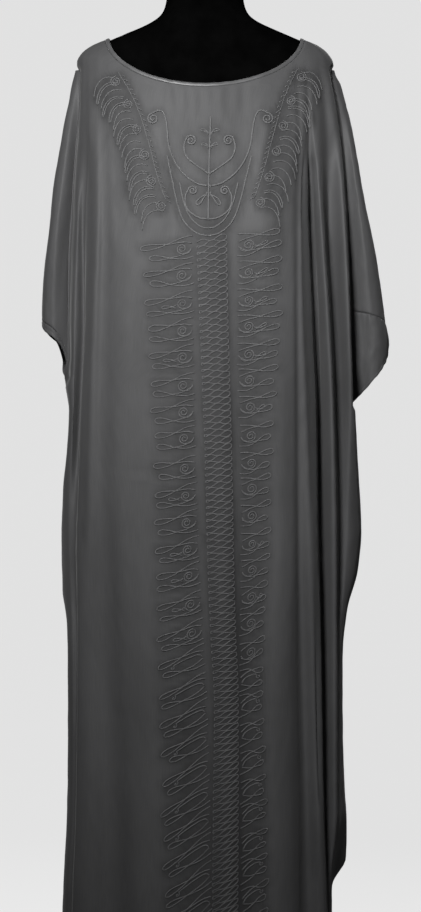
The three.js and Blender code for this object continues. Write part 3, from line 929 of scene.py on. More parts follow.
def mesh_object(
    name: str, points: np.ndarray, faces: np.ndarray, uv: np.ndarray | None = None
) -> bpy.types.Object:
    """Object from points in millimetres.

    Args:
        name: The object's name.
        points: Its points.
        faces: Its faces, as rows of point numbers.
        uv: Place of each point on the cloth, in metres.

    Returns:
        The object, at the origin.
    """
    mesh = bpy.data.meshes.new(name)
    mesh.from_pydata((points * MM).tolist(), [], faces.tolist())
    if uv is not None:
        layer = mesh.uv_layers.new(name="weave")
        layer.data.foreach_set("uv", uv[faces.ravel()].astype(np.float32).ravel())
    obj = bpy.data.objects.new(name, mesh)
    bpy.context.scene.collection.objects.link(obj)
    smooth(obj)
    return obj


def cloth_sheet(name: str, grid: Grid, worked: np.ndarray | None = None) -> bpy.types.Object:
    """Thin closed shell over a grid, with its places on the cloth as a UV map.

    Args:
        name: The object's name.
        grid: Outer surface of the cloth.
        worked: How closely each point is embroidered, from 0 to 1.

    Returns:
        The object.
    """
    columns, rows = grid.points.shape[:2]
    number = np.arange(columns * rows).reshape(columns, rows)
    corners = [number[:-1, :-1], number[:-1, 1:], number[1:, 1:], number[1:, :-1]]
    faces = np.stack([c.ravel() for c in corners], axis=1)
    if grid.outward < 0:
        faces = faces[:, ::-1]
    uv = np.stack([grid.way_across(), -grid.way_down()], axis=-1).reshape(-1, 2) * MM
    obj = mesh_object(name, grid.points.reshape(-1, 3), faces, uv)
    if worked is not None:
        layer = obj.data.attributes.new("worked", "FLOAT", "POINT")
        layer.data.foreach_set("value", worked.astype(np.float32).ravel())
    wall = obj.modifiers.new("wall", "SOLIDIFY")
    wall.thickness = CLOTH_THICKNESS * MM
    wall.offset = -1
    finish_modifiers(obj)
    return obj


class Tubes:
    """Many thin tubes gathered into one mesh."""

    def __init__(self, sides: int = 6) -> None:
        """Starts empty, with a number of faces round each tube.

        Args:
            sides: How many faces go round a tube.
        """
        self.sides = sides
        self.points: list[np.ndarray] = []
        self.faces: list[np.ndarray] = []
        self.uv: list[np.ndarray] = []
        self.count = 0

    def add(
        self, path: np.ndarray, normals: np.ndarray, radius: np.ndarray | float, flat: float = 0.8
    ) -> None:
        """Adds one tube, closed at both ends.

        Args:
            path: Its middle line.
            normals: Way out of the cloth at each point.
            radius: Half its width, at each point or everywhere.
            flat: Its height, as a share of its width.
        """
        steps = np.linalg.norm(np.diff(path, axis=0), axis=1)
        if len(path) < 3 or steps.min() < 1e-6:
            return
        along = unit_rows(np.gradient(path, axis=0))
        beside = unit_rows(np.cross(along, normals))
        out = np.cross(beside, along)
        radius = np.broadcast_to(np.asarray(radius, float), len(path))
        angle = np.arange(self.sides) * 2 * math.pi / self.sides
        across = beside[:, None] * np.cos(angle)[None, :, None]
        upward = out[:, None] * (flat * np.sin(angle))[None, :, None]
        ring = path[:, None] + (across + upward) * radius[:, None, None]
        count, sides = len(path), self.sides
        self.points += [ring.reshape(-1, 3), path[[0, -1]]]
        number = self.count + np.arange(count * sides).reshape(count, sides)
        turned = np.roll(number, -1, axis=1)
        quads = [number[:-1], number[1:], turned[1:], turned[:-1]]
        self.faces += [[int(v) for v in face] for face in np.stack([q.ravel() for q in quads], axis=1)]
        start, end = self.count + count * sides, self.count + count * sides + 1
        self.faces += [[start, int(a), int(b)] for a, b in zip(number[0], turned[0])]
        self.faces += [[end, int(b), int(a)] for a, b in zip(number[-1], turned[-1])]
        way = np.concatenate([[0], np.cumsum(steps)])
        u = np.repeat(way, sides)
        v = np.tile(np.arange(sides) / sides, count) * 4
        self.uv += [np.stack([u, v], axis=1) * MM, np.array([[0, 0], [way[-1], 0]]) * MM]
        self.count += count * sides + 2

    def build(self, name: str, material: bpy.types.Material) -> bpy.types.Object:
        """Makes the mesh.

        Args:
            name: The object's name.
            material: Its finish.

        Returns:
            The object.
        """
        mesh = bpy.data.meshes.new(name)
        points, uv = np.concatenate(self.points) * MM, np.concatenate(self.uv)
        mesh.from_pydata(points.tolist(), [], self.faces)
        layer = mesh.uv_layers.new(name="weave")
        loops = np.empty(len(mesh.loops), np.int32)
        mesh.loops.foreach_get("vertex_index", loops)
        layer.data.foreach_set("uv", uv[loops].astype(np.float32).ravel())
        obj = bpy.data.objects.new(name, mesh)
        bpy.context.scene.collection.objects.link(obj)
        smooth(obj)
        material_slot(obj, material)
        return obj


def resampled(path: np.ndarray, step: float) -> np.ndarray:
    """The same line with its points an even step apart.

    Args:
        path: The line.
        step: Length of a step.

    Returns:
        The new line.
    """
    steps = np.linalg.norm(np.diff(path, axis=0), axis=1)
    way = np.concatenate([[0], np.cumsum(steps)])
    count = max(4, int(round(way[-1] / step)) + 1)
    at = np.linspace(0, way[-1], count)
    return np.stack([np.interp(at, way, path[:, k]) for k in range(path.shape[1])], axis=1)


def rounded_line(corners: Sequence[tuple[float, float]], turns: int = 3) -> np.ndarray:
    """Smooth line near a few corners, which keeps its two ends.

    Args:
        corners: Corners of the line.
        turns: How many times they are cut.

    Returns:
        The line's points.
    """
    line = np.asarray(corners, float)
    for _ in range(turns):
        near, far = line[:-1], line[1:]
        cut = np.stack([0.75 * near + 0.25 * far, 0.25 * near + 0.75 * far], axis=1).reshape(-1, 2)
        line = np.concatenate([line[:1], cut, line[-1:]])
    return line


class DrawingPlane:
    """The panel as it is seen from its own side, for laying cords on it by x and height."""

    def __init__(self, grid: Grid, first: int, last: int) -> None:
        """Reads the sheet on an even net of heights and places across.

        Args:
            grid: The creased sheet.
            first: First column to use; x grows all the way to the last.
            last: Last column to use.
        """
        points, normals = grid.points[first : last + 1], grid.normals()[first : last + 1]
        self.x = np.arange(points[..., 0].min(), points[..., 0].max(), 2.0)
        self.z = np.arange(HEM_Z, NECK.top, 3.0)
        columns = len(points)
        level = np.empty((columns, len(self.z), 6))
        for c in range(columns):
            down = points[c, ::-1, 2]
            for k in range(3):
                level[c, :, k] = np.interp(self.z, down, points[c, ::-1, k])
                level[c, :, 3 + k] = np.interp(self.z, down, normals[c, ::-1, k])
        self.net = np.empty((len(self.x), len(self.z), 6))
        for j in range(len(self.z)):
            x = np.maximum.accumulate(level[:, j, 0])
            for k in range(6):
                self.net[:, j, k] = np.interp(self.x, x, level[:, j, k])

    def at(self, drawn: np.ndarray, lift: float) -> tuple[np.ndarray, np.ndarray]:
        """Places on the cloth.

        Args:
            drawn: Places in the drawing, as x and height.
            lift: Way out of the cloth.

        Returns:
            The places in space and the way out of the cloth at each.
        """
        i = np.clip((drawn[:, 0] - self.x[0]) / 2.0, 0, len(self.x) - 1.001)
        j = np.clip((drawn[:, 1] - self.z[0]) / 3.0, 0, len(self.z) - 1.001)
        i0, j0 = i.astype(int), j.astype(int)
        a, b = (i - i0)[:, None], (j - j0)[:, None]
        near = self.net[i0, j0] * (1 - b) + self.net[i0, j0 + 1] * b
        far = self.net[i0 + 1, j0] * (1 - b) + self.net[i0 + 1, j0 + 1] * b
        found = near * (1 - a) + far * a
        normals = unit_rows(found[:, 3:])
        return found[:, :3] + normals * lift, normals


class Finish:
    """Node tree of one material, with short calls for the nodes that the finishes share."""

    def __init__(self, name: str) -> None:
        """Starts a material with a plain shader.

        Args:
            name: Name of the material.
        """
        self.material = bpy.data.materials.new(name)
        self.material.use_nodes = True
        self.tree = self.material.node_tree
        self.shader = self.tree.nodes["Principled BSDF"]

    def node(self, kind: str, settings: dict[str, object] | None = None, **inputs: object) -> bpy.types.Node:
        """Adds a node.

        Args:
            kind: Its type, without the usual prefix.
            settings: Its own options.
            inputs: Values, or sockets to link, by input name with underscores for spaces.

        Returns:
            The node.
        """
        node = self.tree.nodes.new("ShaderNode" + kind)
        for name, value in (settings or {}).items():
            setattr(node, name, value)
        for name, value in inputs.items():
            self.put(node.inputs[name.replace("_", " ")], value)
        return node

    def put(self, socket: bpy.types.NodeSocket, value: object) -> None:
        """Sets a socket, or links another one to it.

        Args:
            socket: The socket.
            value: Its value, or the socket that feeds it.
        """
        if isinstance(value, bpy.types.NodeSocket):
            self.tree.links.new(value, socket)
        else:
            socket.default_value = value

    def place(self, stretch: tuple[float, float, float], weave: bool) -> bpy.types.NodeSocket:
        """Coordinates for a pattern.

        Args:
            stretch: Repeats for each metre.
            weave: Along the cloth's own UV map; otherwise in the object's space.

        Returns:
            The coordinates.
        """
        if weave:
            source = self.node("UVMap", {"uv_map": "weave"}).outputs["UV"]
        else:
            source = self.node("TexCoord").outputs["Object"]
        return self.node("Mapping", Vector=source, Scale=stretch).outputs["Vector"]

    def noise(self, stretch: Place, weave: bool = True, detail: float = 2.0) -> bpy.types.NodeSocket:
        """Soft random pattern, from 0 to 1."""
        place = self.place(stretch, weave)
        return self.node("TexNoise", Vector=place, Scale=1.0, Detail=detail, Roughness=0.55).outputs["Fac"]

    def between(self, share: bpy.types.NodeSocket, low: float, high: float) -> bpy.types.NodeSocket:
        """Number that runs from low to high as a pattern runs from 0.3 to 0.7."""
        inputs = {"Value": share, "From_Min": 0.3, "From_Max": 0.7, "To_Min": low, "To_Max": high}
        return self.node("MapRange", **inputs).outputs["Result"]

    def grey(self, value: bpy.types.NodeSocket, warmth: float = 1.0) -> bpy.types.NodeSocket:
        """Grey of one value, with a little blue in it.

        Args:
            value: The value.
            warmth: Factor on the blue.

        Returns:
            The colour.
        """
        blue = self.node("Math", {"operation": "MULTIPLY"})
        self.put(blue.inputs[0], value)
        blue.inputs[1].default_value = warmth
        colour = self.node("CombineColor", Red=value, Green=value, Blue=blue.outputs[0])
        return colour.outputs["Color"]

    def bump(self, layers: Sequence[tuple[bpy.types.NodeSocket, float, float]]) -> None:
        """Relief of the surface.

        Args:
            layers: Pattern, strength and height in metres of each layer.
        """
        normal = None
        for pattern, strength, height in layers:
            bump = self.node("Bump", Height=pattern, Strength=strength, Distance=height)
            if normal is not None:
                self.put(bump.inputs["Normal"], normal)
            normal = bump.outputs["Normal"]
        self.put(self.shader.inputs["Normal"], normal)


@dataclass(frozen=True)
class SatinCrepe:
    """Soft, dull satin crepe: pebbled grain, a faint warp, changes of tone and puckers at the cord, with
    painted shade that darkens the cloth where the cords lie close.
    """

    name: str = "satin crepe"
    dark: float = 0.078
    light: float = 0.118
    roughness: float = 0.6
    sheen: float = 0.15
    # share of the base colour left where the cords lie closest: painted shade between the cords and over the
    # recessed middle
    worked_painted_shade: float = 0.6

    def build(self) -> bpy.types.Material:
        """Makes the material.

        Returns:
            The material.
        """
        finish = Finish(self.name)
        grain = finish.noise((900, 700, 900), detail=3.0)
        warp = finish.noise((1500, 28, 900))
        tone = finish.noise((9, 5, 9), detail=4.0)
        pucker = finish.noise((150, 170, 150), detail=1.0)
        worked = finish.node("Attribute", {"attribute_name": "worked"}).outputs["Fac"]
        mixed = finish.node("Mix", {"data_type": "FLOAT"})
        finish.put(mixed.inputs["Factor"], 0.45)
        finish.put(mixed.inputs["A"], tone)
        finish.put(mixed.inputs["B"], warp)
        value = finish.between(mixed.outputs["Result"], self.dark, self.light)
        # painted shade: the base colour darkens with the embroidery's closeness, in place of the shadow
        # between the cords and over the recessed middle
        shade = finish.node("MapRange", Value=worked, To_Min=1.0, To_Max=self.worked_painted_shade).outputs["Result"]
        toned = finish.node("Math", {"operation": "MULTIPLY"})
        finish.put(toned.inputs[0], value)
        finish.put(toned.inputs[1], shade)
        finish.put(finish.shader.inputs["Base Color"], finish.grey(toned.outputs[0], 1.02))
        rough = finish.between(grain, self.roughness - 0.05, self.roughness + 0.07)
        finish.put(finish.shader.inputs["Roughness"], rough)
        finish.shader.inputs["Specular IOR Level"].default_value = 0.3
        finish.shader.inputs["Sheen Weight"].default_value = self.sheen
        finish.shader.inputs["Sheen Roughness"].default_value = 0.4
        raised = finish.node("Math", {"operation": "MULTIPLY"})
        finish.put(raised.inputs[0], pucker)
        finish.put(raised.inputs[1], worked)
        layers = [(grain, 0.35, 0.00012), (warp, 0.25, 0.0001), (raised.outputs[0], 0.5, 0.001)]
        finish.bump(layers)
        return finish.material


@dataclass(frozen=True)
class TwistedCord:
    """Satin cord laid on the cloth, with the slant of its twist."""

    name: str = "embroidery cord"
    dark: float = 0.125
    light: float = 0.17
    roughness: float = 0.45

    def build(self) -> bpy.types.Material:
        """Makes the material.

        Returns:
            The material.
        """
        finish = Finish(self.name)
        tone = finish.noise((220, 60, 60))
        value = finish.between(tone, self.dark, self.light)
        finish.put(finish.shader.inputs["Base Color"], finish.grey(value, 1.02))
        place = finish.place((1, 1, 1), True)
        twist = finish.node(
            "TexWave",
            {"wave_type": "BANDS", "bands_direction": "DIAGONAL"},
            Vector=place,
            Scale=420.0,
            Distortion=0.6,
        )
        finish.shader.inputs["Roughness"].default_value = self.roughness
        finish.shader.inputs["Sheen Weight"].default_value = 0.2
        finish.bump([(twist.outputs["Fac"], 0.6, 0.0002)])
        return finish.material


@dataclass(frozen=True)
class BiasStrip:
    """Narrow strip cut on the bias, satin side out, with slanting threads."""

    name: str = "bias strip"
    dark: float = 0.095
    light: float = 0.13
    roughness: float = 0.4

    def build(self) -> bpy.types.Material:
        """Makes the material.

        Returns:
            The material.
        """
        finish = Finish(self.name)
        tone = finish.noise((60, 90, 60))
        grain = finish.noise((700, 700, 700), weave=False, detail=3.0)
        value = finish.between(tone, self.dark, self.light)
        finish.put(finish.shader.inputs["Base Color"], finish.grey(value, 1.02))
        finish.shader.inputs["Roughness"].default_value = self.roughness
        finish.shader.inputs["Sheen Weight"].default_value = 0.2
        finish.bump([(grain, 0.4, 0.0002)])
        return finish.material


@dataclass(frozen=True)
class BlackJersey:
    """Fine black knit, stretched over the form's shell."""

    name: str = "black jersey"
    dark: float = 0.0015
    light: float = 0.003
    roughness: float = 0.95

    def build(self) -> bpy.types.Material:
        """Makes the material.

        Returns:
            The material.
        """
        finish = Finish(self.name)
        knit = finish.noise((900, 900, 420), weave=False, detail=3.0)
        value = finish.between(finish.noise((30, 30, 30), weave=False), self.dark, self.light)
        finish.put(finish.shader.inputs["Base Color"], finish.grey(value))
        finish.shader.inputs["Roughness"].default_value = self.roughness
        finish.shader.inputs["Specular IOR Level"].default_value = 0.0
        finish.bump([(knit, 0.5, 0.0003)])
        return finish.material


@dataclass(frozen=True)
class PowderCoat:
    """Satin black powder coat with its fine orange peel."""

    name: str = "black powder coat"
    dark: float = 0.018
    light: float = 0.03
    roughness: float = 0.42

    def build(self) -> bpy.types.Material:
        """Makes the material.

        Returns:
            The material.
        """
        finish = Finish(self.name)
        peel = finish.noise((620, 620, 620), weave=False)
        value = finish.between(finish.noise((18, 18, 18), weave=False, detail=5.0), self.dark, self.light)
        finish.put(finish.shader.inputs["Base Color"], finish.grey(value))
        rub = finish.noise((40, 40, 40), weave=False)
        worn = finish.between(rub, self.roughness - 0.07, self.roughness + 0.1)
        finish.put(finish.shader.inputs["Roughness"], worn)
        finish.bump([(peel, 0.25, 0.0003)])
        return finish.material


@dataclass(frozen=True)
class PaleFloor:
    """Plain pale floor and backdrop, with an even glow of its own so that it stays pale behind dark cloth."""

    name: str = "pale floor"
    tone: float = 0.12
    glow: float = 0.75

    def build(self) -> bpy.types.Material:
        """Makes the material.

        Returns:
            The material.
        """
        finish = Finish(self.name)
        value = finish.between(finish.noise((3, 3, 3), weave=False), self.tone - 0.006, self.tone + 0.006)
        finish.put(finish.shader.inputs["Base Color"], finish.grey(value))
        finish.shader.inputs["Roughness"].default_value = 0.9
        finish.shader.inputs["Specular IOR Level"].default_value = 0.0
        finish.shader.inputs["Emission Color"].default_value = (1, 1, 1, 1)
        finish.shader.inputs["Emission Strength"].default_value = self.glow
        return finish.material


FRONT_CREASES = (
    # soft drags from the left shoulder over the chest
    Crease(-150, 1395, -105, 1250, 16, 1.6, 6),
    Crease(-120, 1385, -150, 1180, 18, -1.8, -8),
    Crease(-165, 1330, -120, 1120, 14, 1.2, 6),
    Crease(-95, 1340, -130, 1150, 20, -1.4, 10),
    Crease(-60, 1300, -95, 1090, 22, 1.3, -8),
    # deep upright valley beside the right ridge, and the ridge that closes it
    Crease(151, 1250, 166, 760, 8.5, -11.0, 1),
    Crease(168, 650, 172, 330, 7.0, -8.0, 1),
    # soft drags from the right shoulder
    Crease(150, 1395, 118, 1240, 16, 1.8, -6),
    Crease(120, 1375, 100, 1180, 18, -1.8, 6),
    Crease(90, 1340, 82, 1150, 20, 1.2, 6),
    Crease(165, 1350, 138, 1170, 12, -1.2, -5),
    # hollows beside the embroidery on the chest
    Crease(-62, 1272, -38, 1232, 12, -2.6, 3),
    Crease(64, 1275, 52, 1222, 11, -2.4, -3),
    Crease(-30, 1220, -48, 1150, 13, -1.5, 4),
    Crease(60, 1220, 70, 1140, 12, -1.5, -3),
    # slow ripples down the skirt
    Crease(-118, 1100, -132, 760, 20, 1.5, -9),
    Crease(-92, 1040, -80, 700, 18, -1.6, 7),
    Crease(-150, 900, -140, 520, 16, 1.2, 5),
    Crease(-60, 980, -42, 640, 16, 1.1, -6),
    Crease(96, 1080, 92, 720, 18, -1.4, 6),
    Crease(112, 980, 104, 600, 12, 1.3, -4),
    Crease(88, 760, 98, 420, 16, -1.6, -5),
    Crease(-112, 700, -96, 330, 18, -1.5, 8),
    Crease(-78, 620, -62, 220, 16, 1.6, -6),
    Crease(-160, 560, -156, 180, 12, 1.2, 4),
    Crease(-20, 560, -14, 160, 12, -1.2, 4),
    Crease(84, 420, 92, 90, 14, 1.4, 5),
    Crease(-128, 330, -120, 70, 16, -1.4, -5),
    Crease(48, 330, 50, 80, 10, -1.0, 3),
    # packing creases, pressed in when the garment lay folded
    Crease(-140, 812, -8, 792, 3.2, -0.8, 1),
    Crease(-140, 806, -10, 786, 4.2, 0.5, 1),
    Crease(88, 468, 142, 462, 3.5, -0.7, 0),
    Crease(108, 400, 124, 470, 3.5, -0.6, 0),
    Crease(-150, 455, -60, 447, 3.5, -0.5, 0),
)

BACK_CREASES = (
    Crease(-150, 1400, -120, 1240, 16, 1.6, 6),
    Crease(150, 1400, 122, 1250, 16, 1.6, -6),
    Crease(-110, 1380, -70, 1160, 20, -1.8, 9),
    Crease(112, 1380, 70, 1170, 20, -1.8, -9),
    Crease(-30, 1390, -38, 1180, 22, 1.4, 5),
    Crease(36, 1385, 30, 1160, 20, 1.2, -5),
    Crease(-130, 1160, -122, 820, 18, 1.4, 6),
    Crease(-84, 1100, -96, 760, 14, -1.4, -5),
    Crease(-40, 1080, -46, 700, 16, 1.4, 5),
    Crease(8, 1090, 0, 730, 16, -1.2, -5),
    Crease(58, 1060, 54, 680, 16, -1.4, 5),
    Crease(102, 1120, 104, 780, 14, 1.4, -5),
    Crease(146, 1040, 148, 700, 12, -1.2, 4),
    Crease(-148, 760, -150, 380, 12, -1.4, -5),
    Crease(-94, 700, -92, 300, 14, 1.4, 4),
    Crease(-52, 640, -56, 240, 14, -1.4, -4),
    Crease(2, 620, 2, 220, 12, 1.4, 4),
    Crease(46, 660, 44, 260, 12, -1.3, -4),
    Crease(98, 620, 98, 200, 14, 1.4, 4),
    Crease(140, 540, 138, 150, 12, -1.4, -4),
    Crease(-150, 800, 150, 790, 3.5, -0.6, 2),
    Crease(-150, 452, 150, 446, 3.5, -0.5, 2),
)

SLEEVE_CREASES = {
    Side.LEFT: (
        Crease(-196, 1390, -222, 1180, 9, -1.6, -4),
        Crease(-204, 1340, -214, 1120, 8, 1.3, -3),
        Crease(-212, 1200, -232, 1040, 9, -1.4, 4),
        Crease(-226, 1150, -238, 1010, 7, 1.1, 3),
        Crease(-208, 1120, -214, 1000, 7, 1.0, -3),
    ),
    Side.RIGHT: (
        Crease(200, 1390, 228, 1180, 10, -1.6, 4),
        Crease(210, 1330, 222, 1110, 9, 1.4, 4),
        Crease(222, 1220, 246, 1050, 10, -1.5, -4),
        Crease(240, 1180, 262, 1040, 9, 1.3, -3),
        Crease(226, 1120, 236, 1046, 8, 1.0, 3),
        Crease(252, 1020, 262, 985, 8, 1.6, 2),
        Crease(238, 1030, 236, 940, 9, -1.3, -3),
        Crease(248, 985, 238, 955, 6, 1.8, 2),
        Crease(226, 965, 232, 930, 6, 1.6, 0),
    ),
}


# deep upright troughs that run on over a seam, so both its pieces sink by the same way
SINKS = (
    Crease(-186, 1372, -197, 960, 9.5, 15.0, 0),
    Crease(-168, 1270, -181, 700, 7.5, 9.0, 0),
    Crease(190, 1300, 203, 900, 8.0, 7.0, 0),
)


def sunk(grid: Grid) -> Grid:
    """A sheet whose front has sunk straight back along the deep troughs.

    Args:
        grid: The sheet.

    Returns:
        The sunk sheet.
    """
    points = grid.points.copy()
    in_front = eased((-points[..., 1] - 3) / 16)
    points[..., 1] += sum(crease.height(grid.points) for crease in SINKS) * in_front
    return Grid(points, grid.outward)


@dataclass
class Panel:
    """Front or back of the garment: creased, gathered at the neck and turned up at the hem."""

    name: str
    face: Face
    folds: tuple[Fold, ...]
    creases: tuple[Crease, ...]
    face_width: float = 4.1
    yoke_rows: int = 24
    skirt_rows: int = 186
    calm_edge: float = 12.0
    hem_width: float = 14.0
    gather_height: float = 1.0
    gather_length: float = 21.0
    seed: int = 11
    grid: Grid = field(init=False)

    def __post_init__(self) -> None:
        """Works out the creased sheet."""
        self.grid = self.shaped()

    def shaped(self) -> Grid:
        """The creased sheet.

        Returns:
            The sheet's grid.
        """
        shape = PanelShape(self.face, self.folds)
        spans = np.repeat(np.arange(shape.spans), 9)
        places = np.tile(np.linspace(0, 1, 9), shape.spans)
        lengths = np.zeros(shape.spans)
        for height in (1290.0, 900.0, 400.0):
            line = shape.point(spans, places, np.full(len(spans), height)).reshape(shape.spans, 9, 3)
            lengths = np.maximum(lengths, np.linalg.norm(np.diff(line, axis=1), axis=2).sum(axis=1))
        span, t = column_places(shape.spans, lengths, self.face_width, 8)
        top = shape.top(span, t)
        yoke = np.linspace(0, 1, self.yoke_rows + 1)[None, :-1]
        upper = top[:, None] + (YOKE_Z - top[:, None]) * yoke
        lower = np.broadcast_to(np.linspace(YOKE_Z, HEM_Z, self.skirt_rows), (len(span), self.skirt_rows))
        flat = grid_over(shape, span, t, np.concatenate([upper, lower], axis=1))
        below_neck = shape.neck_height(flat.points[..., 0]) - flat.points[..., 2]
        creased = flat.moved(self.relief(flat, np.maximum(below_neck, 0)))
        return sunk(creased) if self.face is Face.FRONT else creased

    def relief(self, flat: Grid, below_neck: np.ndarray) -> np.ndarray:
        """Way out of the cloth over all its creases.

        Args:
            flat: The sheet before it is creased.
            below_neck: Distance of each point below the neck seam.

        Returns:
            The height at each point.
        """
        points, normals = flat.points, flat.normals()
        seen = eased((np.abs(normals[..., 1]) - 0.25) / 0.5)
        height = sum(crease.height(points) for crease in self.creases) * seen
        slow = Unevenness(self.seed, 0.75, 190, 60, 4.5).at(points)
        quick = Unevenness(self.seed + 1, 0.16, 34, 14, 2.0).at(points)
        height = height + slow * (0.3 + 0.7 * seen) + quick
        across = flat.way_across()
        edge = np.minimum(across, across[-1:] - across)
        height *= eased(edge / self.calm_edge)
        height += self.gathers(points, below_neck) * eased((below_neck + 2) / 8)
        seat = eased((1385 - points[..., 2]) / 60)
        height = np.where(height < 0, height * seat, height * (0.4 + 0.6 * seat))
        above_hem = points[..., 2] - HEM_Z
        doubled = 0.45 * (1 - eased((above_hem - self.hem_width) / 1.5))
        sunk = 0.35 * np.exp(-(((above_hem - self.hem_width) / 3.0) ** 2))
        return height + doubled - sunk

    def gathers(self, points: np.ndarray, below_neck: np.ndarray) -> np.ndarray:
        """Small upright gathers that the neck binding draws up.

        Args:
            points: The sheet's points.
            below_neck: How far each point lies below the neck seam.

        Returns:
            How far each point stands out.
        """
        if self.face is Face.BACK:
            return np.zeros(points.shape[:-1])
        x = points[..., 0]
        wander = 0.9 * np.sin(x / 37) + 0.6 * np.sin(x / 17 + 1.3) + below_neck * 0.012 * np.sin(x / 29)
        wave = np.sin(2 * math.pi * x / self.gather_length + wander)
        window = eased((84 - np.abs(x + 2)) / 30)
        fade = np.exp(-(((below_neck - 10) / 26) ** 2))
        return self.gather_height * (wave + 0.35) * window * fade

    def build(self, material: bpy.types.Material, worked: np.ndarray | None = None) -> bpy.types.Object:
        """Makes the panel.

        Args:
            material: Its finish.
            worked: How closely each point is embroidered.

        Returns:
            The object.
        """
        obj = cloth_sheet(self.name, self.grid, worked)
        material_slot(obj, material)
        return obj


@dataclass
class Sleeve:
    """Hanging sleeve and its cuff on one side."""

    side: Side
    faces_round: int = 26
    sleeve_rows: int = 110
    cuff_rows: int = 42
    hem_width: float = 5.0
    puff: float = 1.6
    sleeve_grid: Grid = field(init=False)
    cuff_grid: Grid = field(init=False)

    def relief(self, flat: Grid, round_way: np.ndarray, cuff: bool) -> np.ndarray:
        """Way out of the cloth over its creases.

        Args:
            flat: The sheet before it is creased.
            round_way: Share of the way round of each column.
            cuff: Whether it is the cuff.

        Returns:
            The height at each point.
        """
        points = flat.points
        height = sum(crease.height(points) for crease in SLEEVE_CREASES[self.side])
        height = height + Unevenness(31 + self.side.value, 0.5, 120, 40, 3.0).at(points)
        height = height + Unevenness(37 + self.side.value, 0.15, 26, 12, 2.0).at(points)
        across, down = flat.way_across(), flat.way_down()
        edge = np.minimum(across, across[-1:] - across)
        length = down[:, -1:]
        if cuff and self.side is Side.RIGHT:
            share = down / np.maximum(length, 1)
            gather = np.sin(round_way * 2 * math.pi * 17 + 1.5 * np.sin(round_way * 19))
            height = height + self.puff * np.sin(math.pi * np.clip(share, 0, 1)) ** 0.6
            height = height + 0.55 * gather * np.exp(-down / 9) + 0.5 * gather * np.exp(-(length - down) / 9)
        height *= eased(edge / 9)
        if cuff:
            to_hem = length - down
            height += 0.4 * (1 - eased((to_hem - self.hem_width) / 1.2))
            height -= 0.3 * np.exp(-(((to_hem - self.hem_width) / 2.0) ** 2)) * eased(edge / 6)
            height -= 0.35 * np.exp(-down / 1.6)
        else:
            height *= eased((1400 - points[..., 2]) / 50) * 0.85 + 0.15
            height -= 0.35 * np.exp(-(length - down) / 1.6)
        return height

    def build(self, material: bpy.types.Material) -> tuple[bpy.types.Object, bpy.types.Object]:
        """Makes the sleeve and the cuff.

        Args:
            material: Their finish.

        Returns:
            The sleeve and the cuff.
        """
        shape = SleeveShape(self.side)
        span, t = column_places(shape.spans, np.zeros(shape.spans), 1.0, self.faces_round)
        way = (span + t) / shape.spans
        top = np.full(len(way), SLEEVE_TOP_Z)
        hem = SLEEVE_ENDS[self.side]["hem"](way)
        ends = {
            "sleeve": (top, shape.seam_height(way, 0.5), self.sleeve_rows),
            "cuff": (shape.seam_height(way, -0.5), hem, self.cuff_rows),
        }
        made = []
        for part, (high, low, rows) in ends.items():
            share = np.linspace(0, 1, rows if part == "sleeve" or self.side is Side.RIGHT else 12)
            z = high[:, None] + (low - high)[:, None] * share
            flat = grid_over(shape, span, t, z)
            grid = sunk(flat.moved(self.relief(flat, way[:, None], part == "cuff")))
            setattr(self, f"{part}_grid", grid)
            obj = cloth_sheet(f"{part}_{self.side.name.lower()}_cloth", grid)
            material_slot(obj, material)
            made.append(obj)
        return made[0], made[1]


@dataclass
class NeckBinding:
    """Narrow rounded strip that binds the neck edge."""

    width: float = 6.0
    proud: float = 0.7
    under: float = 1.9
    sides: int = 12
    edge: np.ndarray = field(init=False)
    out: np.ndarray = field(init=False)

    def build(self, front: Grid, back: Grid, material: bpy.types.Material) -> bpy.types.Object:
        """Makes the strip along the top of the front and the back.

        Args:
            front: The front's sheet.
            back: The back's sheet.
            material: Its finish.

        Returns:
            The object.
        """
        level = np.array([1.0, 0.0, 1.0])
        lines, outs = [], []
        for grid in (front, back):
            lines.append(grid.points[:, 0])
            outs.append(grid.normals()[:, 0])
        ends = [lines[0][0] * level, lines[0][-1] * level]
        end_outs = [outs[0][0] * level, outs[0][-1] * level]
        edge = np.concatenate([ends[:1], lines[0][1:-1], ends[1:], lines[1][1:-1][::-1]])
        out = unit_rows(np.concatenate([end_outs[:1], outs[0][1:-1], end_outs[1:], outs[1][1:-1][::-1]]))
        along = unit_rows(np.roll(edge, -1, axis=0) - np.roll(edge, 1, axis=0))
        out = unit_rows(out - along * (out * along).sum(axis=1, keepdims=True))
        upward = -np.cross(along, out)
        self.edge, self.out = edge + upward * (SEAM_GAP + 1.2), out
        angle = np.arange(self.sides) * 2 * math.pi / self.sides
        round_x = np.sign(np.cos(angle)) * np.abs(np.cos(angle)) ** 0.7
        round_y = np.sign(np.sin(angle)) * np.abs(np.sin(angle)) ** 0.7
        rise = SEAM_GAP + self.width / 2 + round_x * self.width / 2
        thick = (self.proud - self.under) / 2 + round_y * (self.proud + self.under) / 2
        ring = edge[:, None] + upward[:, None] * rise[None, :, None] + out[:, None] * thick[None, :, None]
        count = len(edge)
        number = np.arange(count * self.sides).reshape(count, self.sides)
        ahead, beside = np.roll(number, -1, axis=0), np.roll(number, -1, axis=1)
        corner = np.roll(ahead, -1, axis=1)
        faces = np.stack([number.ravel(), ahead.ravel(), corner.ravel(), beside.ravel()], axis=1)
        way = np.concatenate([[0], np.cumsum(np.linalg.norm(np.diff(edge, axis=0), axis=1))])
        uv = np.stack([np.repeat(way, self.sides), np.tile(rise, count)], axis=1) * MM
        obj = mesh_object("neck_binding_strip", ring.reshape(-1, 3), faces, uv)
        material_slot(obj, material)
        return obj


